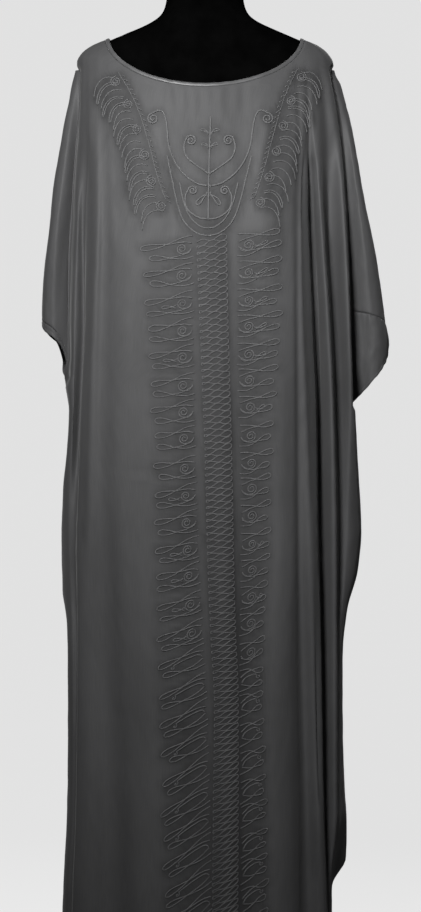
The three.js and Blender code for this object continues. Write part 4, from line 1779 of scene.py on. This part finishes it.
@dataclass
class Embroidery:
    """Couched cord on the front: a woven column down the middle, scroll borders and a lyre on the chest."""

    plane: DrawingPlane
    material: bpy.types.Material
    radius: float = 0.85
    lift: float = 0.4
    step: float = 2.5
    seed: int = 5
    hooks_below: float = 545.0
    leaf_climb: float = 9.0
    drawn: list[np.ndarray] = field(default_factory=list)

    # middle line of the column and its half width, then spirals and leaf tips of the two borders,
    # and the slope at which the stitches rise to the right
    places = Table(
        ("z", "middle", "half", "left_spiral", "left_tip", "right_spiral", "right_tip", "slope"),
        (
            (1141, 10, 21.5, -33, -90, 63, 114, 0.12),
            (1000, 14, 20, -32, -84, 63, 110, 0.10),
            (823, 20, 19, -29, -73, 67, 98, 0.12),
            (679, 23, 18.5, -24, -70, 68, 94, 0.22),
            (565, 27, 17.5, -18, -67, 66, 86, 0.34),
            (478, 31, 17, -13, -63, 66, 84, 0.44),
            (300, 30, 18, -8, -60, 68, 90, 0.58),
            (HEM_Z, 29, 18, -4, -58, 68, 92, 0.68),
        ),
    ).curves()

    def put(self, tubes: Tubes, line: np.ndarray, radius: float | None = None) -> None:
        """Lays one cord.

        Args:
            tubes: Where it goes.
            line: Its line, as x and height.
            radius: Half its width.
        """
        line = resampled(np.asarray(line, float), self.step)
        path, normals = self.plane.at(line, self.lift)
        tubes.add(path, normals, radius or self.radius, 0.85)
        self.drawn.append(line)

    def worked(self, points: np.ndarray, cell: float = 4.0) -> np.ndarray:
        """How closely the cords lie.

        Args:
            points: Places on the cloth.
            cell: Width of the squares that the cords are counted in.

        Returns:
            The share at each place, from 0 for bare cloth to 1.
        """
        laid = np.concatenate(self.drawn)
        edges_x, edges_z = np.arange(-200, 204, cell), np.arange(0, 1500, cell)
        count = np.histogram2d(laid[:, 0], laid[:, 1], bins=(edges_x, edges_z))[0]
        for _ in range(2):
            count = (count + np.roll(count, 1, 0) + np.roll(count, -1, 0)) / 3
            count = (count + np.roll(count, 1, 1) + np.roll(count, -1, 1)) / 3
        i = np.clip(((points[..., 0] + 200) / cell).astype(int), 0, count.shape[0] - 1)
        j = np.clip((points[..., 2] / cell).astype(int), 0, count.shape[1] - 1)
        return np.clip(count[i, j] / 0.9, 0, 1)

    def column(self) -> bpy.types.Object:
        """Rows of waves that cross the ones above and below, turned back at both edges.

        Returns:
            The column.
        """
        tubes = Tubes(5)
        pitch, high, low = 4.7, 1142.0, HEM_Z + 22
        rows = int((high - low) / pitch)
        line: list[tuple[float, float]] = []
        share = np.linspace(-1, 1, 21)
        for row in range(rows):
            z = high - row * pitch
            middle, half = float(self.places["middle"](z)), float(self.places["half"](z))
            slope = max(0.27, float(self.places["slope"](z)))
            swing = 2.9 * (1 - 0.4 * min(1, (high - z) / 600))
            way = share[::-1] if row % 2 else share
            phase = 0 if row % 2 else math.pi
            wave = swing * np.cos(way * math.pi * 1.5 + phase) * (1 - 0.35 * way**6)
            rise = slope * way * half + wave * (1 - 0.3 * slope)
            line += list(zip(middle + way * half, z + rise))
        cut = np.array(line)
        piece = 46 * len(share)
        for start in range(0, len(cut) - 8, piece):
            self.put(tubes, rounded_line(cut[start : start + piece + 1], 1))
        return tubes.build("embroidery_column", self.material)

    def spiral(self, middle: Corner, size: float, turns: float, start: float, way: int) -> np.ndarray:
        """Line that winds in to a middle.

        Args:
            middle: Its middle, as x and height.
            size: Its outer radius.
            turns: How many times it goes round.
            start: Angle of its outer end, in degrees.
            way: 1 to wind counterclockwise, -1 to wind clockwise.

        Returns:
            The line, from the outer end.
        """
        share = np.linspace(0, 1, int(16 * turns))
        angle = math.radians(start) + way * share * turns * 2 * math.pi
        radius = size * (1 - 0.8 * share)
        return np.stack([middle[0] + radius * np.cos(angle), middle[1] + radius * np.sin(angle)], axis=1)

    def leaf(self, corners: Sequence[tuple[float, float]], width: float, cross: float = 0.3) -> np.ndarray:
        """Long loop that rounds its tip and comes back, with two tails that cross where the leaf begins.

        Args:
            corners: Corners of its middle line, from the tails to the tip.
            width: Half its width.
            cross: Share of the line at which the tails cross; 0 for a plain hairpin.

        Returns:
            The line, from one tail to the other.
        """
        middle = resampled(rounded_line(corners), 1.2)
        along = unit_rows(np.gradient(middle, axis=0))
        beside = np.stack([-along[:, 1], along[:, 0]], axis=1)
        share = np.linspace(0, 1, len(middle))
        body = np.clip((share - cross) / (1 - cross), 0, 1)
        if cross > 0:
            spread = 1.35 * body**0.9 * np.sqrt(1 - body**3) - 1.1 * np.clip(1 - share / cross, 0, 1)
        else:
            spread = (0.75 + 0.35 * body) * np.sqrt(1 - body**6)
        aside = beside * (width * spread)[:, None]
        return np.concatenate([middle + aside, (middle - aside)[-2::-1]])

    def repeat(self, side: Side, z: float, wobble: np.ndarray) -> list[np.ndarray]:
        """Lines of one repeat of a border, drawn outward from its spiral.

        Args:
            side: Which side of the column it is on.
            z: Height of the spiral.
            wobble: Small random numbers that make it differ from its neighbours.

        Returns:
            The lines, with their place out from the spiral and above it.
        """
        name = side.name.lower()
        reach = abs(float(self.places[f"{name}_tip"](z) - self.places[f"{name}_spiral"](z)))
        size = 7.6 + 0.5 * wobble[0]
        climb = self.leaf_climb if side is Side.RIGHT and z > self.hooks_below else 0.0
        far = reach * (1 + 0.04 * wobble[1])
        high_leaf = [(-15, 12), (-3, 13.5), (far * 0.42, 8 + climb / 2), (far, 6.5 + climb + wobble[2])]
        far = reach * (0.9 + 0.04 * wobble[3])
        lift = 3.5 if side is Side.LEFT else 0.0
        low_tip = (far, -11.5 + lift + climb + wobble[4])
        low_leaf = [(-15, -8), (-2, -12.5), (far * 0.45, -11 + climb / 2), low_tip]
        high_line = self.leaf(high_leaf, 5.0 + 0.4 * wobble[5], 0.5)
        lines = [high_line, self.leaf(low_leaf, 4.6 + 0.4 * wobble[6], 0.54)]
        if z > self.hooks_below:
            ring = self.spiral((0, 0), size, 1.9, 250, 1)
            lead = rounded_line([(-14, 0), (-11, -6), (-5, -size - 1), tuple(ring[0])], 2)
            lines.append(np.concatenate([lead[:-1], ring]))
            if wobble[7] > -0.3:
                bud = [(8, -4), (15, -3), (reach * 0.56, -1.5 + climb * 0.4 + 0.6 * wobble[8])]
                lines.append(self.leaf(bud, 2.5, 0.25))
        else:
            ring = self.spiral((reach * 0.62, -1.5), 3.4, 1.1, 120, 1)
            hook = rounded_line([(-13, -2), (-9, 4), (4, 4.5), (reach * 0.4, 3), tuple(ring[0])])
            lines.append(np.concatenate([hook[:-1], ring]))
        return lines

    def border(self, side: Side, high: float, low: float, pitch: float) -> bpy.types.Object:
        """Scroll border down one side of the column, a spiral or hook and two crossing leaves a repeat.

        Args:
            side: Which side.
            high: Height of the first repeat.
            low: Height below which none starts.
            pitch: Distance between repeats.

        Returns:
            The object.
        """
        tubes = Tubes(5)
        name, sign = side.name.lower(), side.value
        draw = np.random.default_rng(self.seed + sign)
        for level in np.arange(high, low, -pitch):
            z = float(level + draw.normal(0, 1.2))
            hub = float(self.places[f"{name}_spiral"](z))
            lean = float(self.places["slope"](z))
            for line in self.repeat(side, z, draw.normal(0, 1, 9)):
                x = sign * line[:, 0]
                self.put(tubes, np.stack([hub + x, z + line[:, 1] + lean * x], axis=1))
        return tubes.build(f"embroidery_border_{name}", self.material)

    def plume(
        self, spine: np.ndarray, outward: np.ndarray, i: int, draw: np.random.Generator
    ) -> list[np.ndarray]:
        """Strokes that start on a band's middle line, run outward and bend down.

        Args:
            spine: The band's middle line, in steps of 1 mm.
            outward: Way out from it at each point.
            i: Where the strokes start.
            draw: Source of the small differences.

        Returns:
            The lines.
        """
        root = spine[i] - outward[i] * draw.uniform(1, 4)
        down = np.array([0.0, -1.0])
        out = unit_rows((outward[i] * (1.0, 0.35))[None])[0]
        length = draw.uniform(0.88, 1.12)
        corners = [
            tuple(root),
            tuple(root + out * 9 * length - down * 3.5),
            tuple(root + out * 20 * length - down * 1.0),
            tuple(root + out * 27 * length + down * 9),
            tuple(root + out * 29 * length + down * draw.uniform(19, 25)),
        ]
        if draw.random() < 0.45:
            return [self.leaf(corners, draw.uniform(1.5, 2.1), 0.0)]
        return [rounded_line(corners, 3)]

    def feather(self, side: Side) -> bpy.types.Object:
        """Band of spirals and plumes from one shoulder in to the chest.

        Args:
            side: Which side.

        Returns:
            The object.
        """
        tubes = Tubes(5)
        draw = np.random.default_rng(self.seed + 20 + side.value)
        if side is Side.LEFT:
            corners = [(-140, 1388), (-112, 1340), (-92, 1275), (-80, 1222), (-56, 1166)]
        else:
            corners = [(150, 1396), (128, 1350), (110, 1285), (96, 1230), (74, 1170)]
        spine = resampled(rounded_line(corners, 3), 1.0)
        along = unit_rows(np.gradient(spine, axis=0))
        outward = np.stack([-along[:, 1], along[:, 0]], axis=1)
        outward *= np.sign(outward[:, :1] * side.value)
        inner = spine - outward * 13
        self.put(tubes, inner[4:-30:3], self.radius * 0.8)
        for i in range(6, len(spine) - 6, 12):
            for line in self.plume(spine, outward, i, draw):
                self.put(tubes, line)
        for i in range(14, len(spine) - 12, 40):
            size = 8.0 * draw.uniform(0.92, 1.08)
            ring = self.spiral(tuple(spine[i] - outward[i] * 3), size, 2.1, 90, -side.value)
            self.put(tubes, ring)
        for i in range(10, len(spine) - 26, 8):
            bend = inner[i] - outward[i] * 3.5 + along[i] * 1.5
            tooth = [inner[i], bend, inner[i] - outward[i] * 5 + along[i] * 5]
            self.put(tubes, rounded_line([tuple(corner) for corner in tooth], 2), self.radius * 0.85)
        return tubes.build(f"embroidery_feathers_{side.name.lower()}", self.material)

    def beaded(self, tubes: Tubes, line: np.ndarray, pitch: float, width: float) -> None:
        """Row of small knots that swell along a cord.

        Args:
            tubes: Where the cord is added.
            line: The cord's line.
            pitch: Distance between two knots.
            width: How much a knot is thicker than the cord.
        """
        line = resampled(line, 1.1)
        way = np.arange(len(line)) * 1.1
        path, normals = self.plane.at(line, self.lift)
        tubes.add(path, normals, self.radius * (1 + width * np.sin(way * math.pi / pitch) ** 2))
        self.drawn.append(line)

    def lyre(self) -> bpy.types.Object:
        """Mirrored scrolls round a stem, with a beaded U below them.

        Returns:
            The scrolls.
        """
        tubes = Tubes(6)
        middle, lean = 5.0, 0.02
        for side in (-1, 1):

            def mirrored(line: np.ndarray, side: int = side) -> np.ndarray:
                """A line of the right half, mirrored for the left and leaning with the cloth.

                Args:
                    line: The line, from the middle.
                    side: Sign of the half.

                Returns:
                    The line in its place.
                """
                x = middle + side * line[:, 0] + lean * (line[:, 1] - 1180)
                return np.stack([x, line[:, 1]], axis=1)

            def cord(corners: Sequence[Corner], curl: np.ndarray, mirrored: Mirror = mirrored) -> None:
                """Lays one scroll, ending in a curl.

                Args:
                    corners: Corners that the scroll passes.
                    curl: Line of its curl.
                    mirrored: What puts a line in its half.
                """
                line = np.concatenate([rounded_line(corners)[:-1], curl])
                self.put(tubes, mirrored(line), 1.25)

            outer = self.spiral((83, 1319), 9.5, 2.0, 178, -1)
            rise = [(1, 1219), (18, 1221), (44, 1242), (60, 1276), (62, 1306), (66, 1326), (73, 1333)]
            cord([*rise, tuple(outer[4])], outer[5:])
            inner = self.spiral((27, 1286), 8.0, 1.8, 0, 1)
            cord([(0, 1236), (14, 1246), (34, 1260), (38, 1278), tuple(inner[0])], inner)
            heart = self.spiral((23, 1212), 7.0, 1.7, 0, 1)
            cord([(0, 1170), (16, 1172), (33, 1186), (34, 1204), tuple(heart[0])], heart)
            self.put(tubes, mirrored(self.leaf([(0.5, 1207), (8, 1203), (17, 1191)], 3.6, 0.12)), 1.05)
            self.put(tubes, mirrored(self.leaf([(1, 1296), (8, 1302), (14, 1301)], 2.2, 0.12)))
            self.put(tubes, mirrored(self.leaf([(1, 1276), (7, 1281), (12, 1280)], 2.0, 0.12)))
            rim = rounded_line([(0, 1146), (17, 1149), (36, 1166), (46, 1196), (54, 1232), (61, 1264)])
            self.beaded(tubes, mirrored(rim), 3.6, 0.55)
            rim = rounded_line([(0, 1157), (12, 1159), (27, 1173), (37, 1198), (42, 1224)])
            self.beaded(tubes, mirrored(rim), 3.2, 0.35)
        stem = rounded_line([(middle + 4, 1322), (middle + 2.5, 1290), (middle + 1, 1240), (middle, 1170)])
        self.put(tubes, stem, 1.2)
        return tubes.build("embroidery_lyre", self.material)

    def build(self) -> list[bpy.types.Object]:
        """Makes every part of the embroidery.

        Returns:
            The parts.
        """
        made = [self.column(), self.lyre()]
        made.append(self.border(Side.LEFT, 1128, HEM_Z + 60, 39.5))
        made.append(self.border(Side.RIGHT, 1132, HEM_Z + 60, 39.0))
        made += [self.feather(Side.LEFT), self.feather(Side.RIGHT)]
        return made


@dataclass
class Stitching:
    """Rows of sewing stitches."""

    material: bpy.types.Material
    pitch: float = 3.3
    length: float = 2.3
    radius: float = 0.3
    rows: list[tuple[np.ndarray, np.ndarray]] = field(default_factory=list)

    def along(self, line: np.ndarray, out: np.ndarray) -> None:
        """Adds a row.

        Args:
            line: Points that it follows on the cloth.
            out: Way out of the cloth at each.
        """
        self.rows.append((line, out))

    def build(self, name: str) -> bpy.types.Object:
        """Makes every row as one piece.

        Args:
            name: Name of the piece.

        Returns:
            The piece.
        """
        tubes = Tubes(5)
        for line, out in self.rows:
            both = resampled(np.concatenate([line, out], axis=1), self.pitch / 6)
            whole = np.linalg.norm(np.diff(both[:, :3], axis=0), axis=1).sum()
            count = int(whole / self.pitch)
            place = np.linspace(0, 1, len(both))
            for k in range(count):
                start = k * self.pitch / whole
                at = start + np.array([0, 0.25, 0.5, 0.75, 1]) * self.length / whole
                sample = np.stack([np.interp(at, place, both[:, c]) for c in range(6)], axis=1)
                normals = unit_rows(sample[:, 3:])
                rise = self.radius * np.array([-0.7, 0.35, 0.6, 0.35, -0.7])
                tubes.add(sample[:, :3] + normals * rise[:, None], normals, self.radius, 0.9)
        return tubes.build(name, self.material)


@dataclass
class DressForm:
    """Limbless form, smoothed from its solid."""

    smoothing: int = 2

    def build(self, node: bpy.types.Object, material: bpy.types.Material) -> bpy.types.Object:
        """Makes the form.

        Args:
            node: Its solid.
            material: Its finish.

        Returns:
            The object.
        """
        obj = bpy.data.objects.new("form_body", node.data.copy())
        bpy.context.scene.collection.objects.link(obj)
        only(obj)
        bpy.ops.object.mode_set(mode="EDIT")
        bpy.ops.mesh.select_all(action="SELECT")
        bpy.ops.mesh.remove_doubles(threshold=1e-5)
        bpy.ops.mesh.dissolve_limited(angle_limit=math.radians(0.5))
        bpy.ops.mesh.tris_convert_to_quads(face_threshold=math.radians(60), shape_threshold=math.radians(60))
        bpy.ops.object.mode_set(mode="OBJECT")
        lift = obj.modifiers.new("rounding", "SUBSURF")
        lift.levels = lift.render_levels = self.smoothing
        finish_modifiers(obj)
        smooth(obj)
        material_slot(obj, material)
        return obj


@dataclass
class Stand:
    """Pole and round base, with softened rims."""

    sides: int = 96

    def cylinder(self, name: str, node: str, bevel: float, material: bpy.types.Material) -> bpy.types.Object:
        """Round bar or plate that fills a solid's box.

        Args:
            name: The object's name.
            node: The solid.
            bevel: Width of its rims, in metres.
            material: Its finish.

        Returns:
            The object.
        """
        low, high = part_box(node)
        for other in bpy.context.selected_objects:
            other.select_set(False)
        size = high - low
        middle = (low + high) / 2
        shape = {"radius": size.x / 2, "depth": size.z}
        bpy.ops.mesh.primitive_cylinder_add(vertices=self.sides, location=middle, **shape)
        obj = bpy.context.active_object
        obj.name = obj.data.name = name
        bpy.ops.object.transform_apply(location=True, rotation=False, scale=False)
        rim = obj.modifiers.new("rim", "BEVEL")
        rim.width, rim.segments, rim.limit_method = bevel, 4, "ANGLE"
        finish_modifiers(obj)
        bpy.ops.object.shade_smooth_by_angle(angle=math.radians(35))
        material_slot(obj, material)
        return obj


@dataclass
class Studio:
    """Plain pale floor that sweeps up to a backdrop, soft lights and the camera."""

    distance: float = 3.2
    height: float = 0.829
    aside: float = 0.00825
    lens: float = 84.21
    floor_radius: float = 7.0
    wall_height: float = 6.0

    def backdrop(self) -> None:
        """Floor and round wall, seen by the camera and lit, that cast no light back."""
        for other in bpy.context.selected_objects:
            other.select_set(False)
        bpy.ops.mesh.primitive_circle_add(vertices=96, radius=self.floor_radius, fill_type="NGON")
        obj = bpy.context.active_object
        obj.name = "floor"
        steps = 10
        curve = 2.5
        bpy.ops.object.mode_set(mode="EDIT")
        bpy.ops.mesh.select_all(action="SELECT")
        bpy.ops.mesh.edge_face_add()
        for k in range(1, steps + 1):
            angle = math.pi / 2 * k / steps
            before = math.pi / 2 * (k - 1) / steps
            inside = self.floor_radius + curve * math.sin(before)
            grow = (self.floor_radius + curve * math.sin(angle)) / inside
            rise = curve * (math.cos(before) - math.cos(angle))
            bpy.ops.mesh.extrude_region_move(TRANSFORM_OT_translate={"value": (0, 0, rise)})
            bpy.ops.transform.resize(value=(grow, grow, 1))
        bpy.ops.mesh.extrude_region_move(TRANSFORM_OT_translate={"value": (0, 0, self.wall_height)})
        bpy.ops.mesh.delete(type="FACE")
        bpy.ops.object.mode_set(mode="OBJECT")
        smooth(obj)
        obj.visible_diffuse = obj.visible_glossy = obj.visible_shadow = False
        material_slot(obj, PaleFloor().build())

    def lamp(
        self, name: str, at: Place, to: Place, size: float, power: float, spread: float = 180
    ) -> bpy.types.Object:
        """Adds a soft square lamp.

        Args:
            name: Its name.
            at: Where it is.
            to: Where it points.
            size: Its width.
            power: Its power, in watts.
            spread: Angle that its light opens to, in degrees.

        Returns:
            The lamp.
        """
        data = bpy.data.lights.new(name, "AREA")
        data.size, data.energy, data.spread = size, power, math.radians(spread)
        lamp = bpy.data.objects.new(name, data)
        lamp.location = at
        lamp.rotation_euler = (Vector(to) - Vector(at)).to_track_quat("-Z", "Y").to_euler()
        bpy.context.scene.collection.objects.link(lamp)
        return lamp

    def build(self) -> None:
        """Makes the floor, the lights and the camera."""
        self.backdrop()
        world = bpy.data.worlds.new("studio")
        bpy.context.scene.world = world
        world.use_nodes = True
        world.node_tree.nodes["Background"].inputs["Color"].default_value = (1, 1, 1, 1)
        world.node_tree.nodes["Background"].inputs["Strength"].default_value = 0.035
        self.lamp("key", (-0.38, -1.95, 1.95), (0.0, -0.1, 1.25), 0.4, 8.8, 80)
        self.lamp("fill", (2.2, -0.9, 1.6), (0.0, 0.0, 1.0), 1.2, 1.2)
        back = self.lamp("back", (0.6, 1.9, 2.1), (0.0, 0.1, 1.15), 0.6, 14, 90)
        back.visible_glossy = False
        data = bpy.data.cameras.new("camera")
        data.sensor_fit, data.sensor_height, data.sensor_width = "VERTICAL", 36, 36
        data.lens = self.lens
        camera = bpy.data.objects.new("camera", data)
        camera.location = (self.aside, -self.distance, self.height)
        camera.rotation_euler = (math.pi / 2, 0, 0)
        bpy.context.scene.collection.objects.link(camera)
        bpy.context.scene.camera = camera
        view = bpy.context.scene.view_settings
        view.view_transform, view.look, view.exposure, view.gamma = "Standard", "None", 0, 1


def main() -> None:
    """Builds the garment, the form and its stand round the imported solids."""
    logging.basicConfig(level=logging.INFO, format="%(message)s")
    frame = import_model()
    crepe, cord, strip = SatinCrepe().build(), TwistedCord().build(), BiasStrip().build()

    front = Panel("front_cloth", Face.FRONT, FRONT_FOLDS, FRONT_CREASES)
    back = Panel("back_cloth", Face.BACK, BACK_FOLDS, BACK_CREASES, face_width=4.4, yoke_rows=22, seed=17)
    embroidery = Embroidery(DrawingPlane(front.grid, 0, len(front.grid.points) - 1), cord)
    sewn = embroidery.build()
    pieces: dict[tuple[str, ...], bpy.types.Object] = {
        ("front_upper", "front_lower"): front.build(crepe, embroidery.worked(front.grid.points)),
        ("back_upper", "back_lower"): back.build(crepe),
    }
    sleeves = [Sleeve(Side.LEFT), Sleeve(Side.RIGHT)]
    for sleeve in sleeves:
        name = sleeve.side.name.lower()
        pieces[(f"sleeve_{name}",)], pieces[(f"cuff_{name}",)] = sleeve.build(crepe)
    pieces[("neck_binding",)] = NeckBinding().build(front.grid, back.grid, strip)
    pieces[("dress_form",)] = DressForm().build(frame["nodes"]["dress_form"], BlackJersey().build())
    coat = PowderCoat().build()
    stand = Stand()
    pieces[("stand_pole",)] = stand.cylinder("pole_tube", "stand_pole", 0.001, coat)
    pieces[("stand_base",)] = stand.cylinder("base_plate", "stand_base", 0.003, coat)
    slots = {"neck_binding": "binding", "dress_form": "form", "stand_pole": "stand", "stand_base": "stand"}
    for nodes, piece in pieces.items():
        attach(piece, "root")
        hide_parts(*nodes)
        slots.get(nodes[0], "cloth")
        LOG.info("%s stands for %s", piece.name, " and ".join(nodes))

    hems = Stitching(cord)
    for panel in (front, back):
        row = int(np.argmin(np.abs(panel.grid.points[0, :, 2] - HEM_Z - panel.hem_width)))
        hems.along(panel.grid.points[:, row], panel.grid.normals()[:, row])
    hem_stitches = hems.build("hem_stitches")
    cuff_stitches = {}
    for sleeve in sleeves:
        rows = Stitching(cord, pitch=3.0, length=2.1)
        grid = sleeve.cuff_grid
        to_hem = grid.way_down()[:, -1:] - grid.way_down()
        row = np.argmin(np.abs(to_hem - sleeve.hem_width), axis=1)
        every = np.arange(len(row))
        rows.along(grid.points[every, row], grid.normals()[every, row])
        cuff_stitches[sleeve.side] = rows.build(f"cuff_stitches_{sleeve.side.name.lower()}")
    for piece in (*sewn, hem_stitches, *cuff_stitches.values()):
        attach(piece, "root")
        LOG.info("%s rides on root", piece.name)

    left_stitches, right_stitches = [cuff_stitches[Side.LEFT]], [cuff_stitches[Side.RIGHT]]
    # Each sheet's widest row and longest column along the cloth, in metres, and its area
    cut = {
        "front_cloth": ((0.751, 1.448), 0.868, "draped", ["form_body"], [*sewn, hem_stitches]),
        "back_cloth": ((0.623, 1.445), 0.769, "draped", ["form_body"], []),
        "sleeve_left_cloth": ((0.219, 0.458), 0.0459, "hung", ["front_cloth", "back_cloth"], []),
        "sleeve_right_cloth": ((0.197, 0.398), 0.0481, "hung", ["front_cloth", "back_cloth"], []),
        "cuff_left_cloth": ((0.225, 0.017), 0.0021, "hung", ["sleeve_left_cloth"], left_stitches),
        "cuff_right_cloth": ((0.272, 0.145), 0.0156, "hung", ["sleeve_right_cloth"], right_stitches),
    }
    for piece in pieces.values():
        if piece.name in cut:
            flat, area, held, rests_on, with_pieces = cut[piece.name]
            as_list(rests_on)
            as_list(with_pieces)
    Studio().build()


if __name__ == "__main__":
    main()
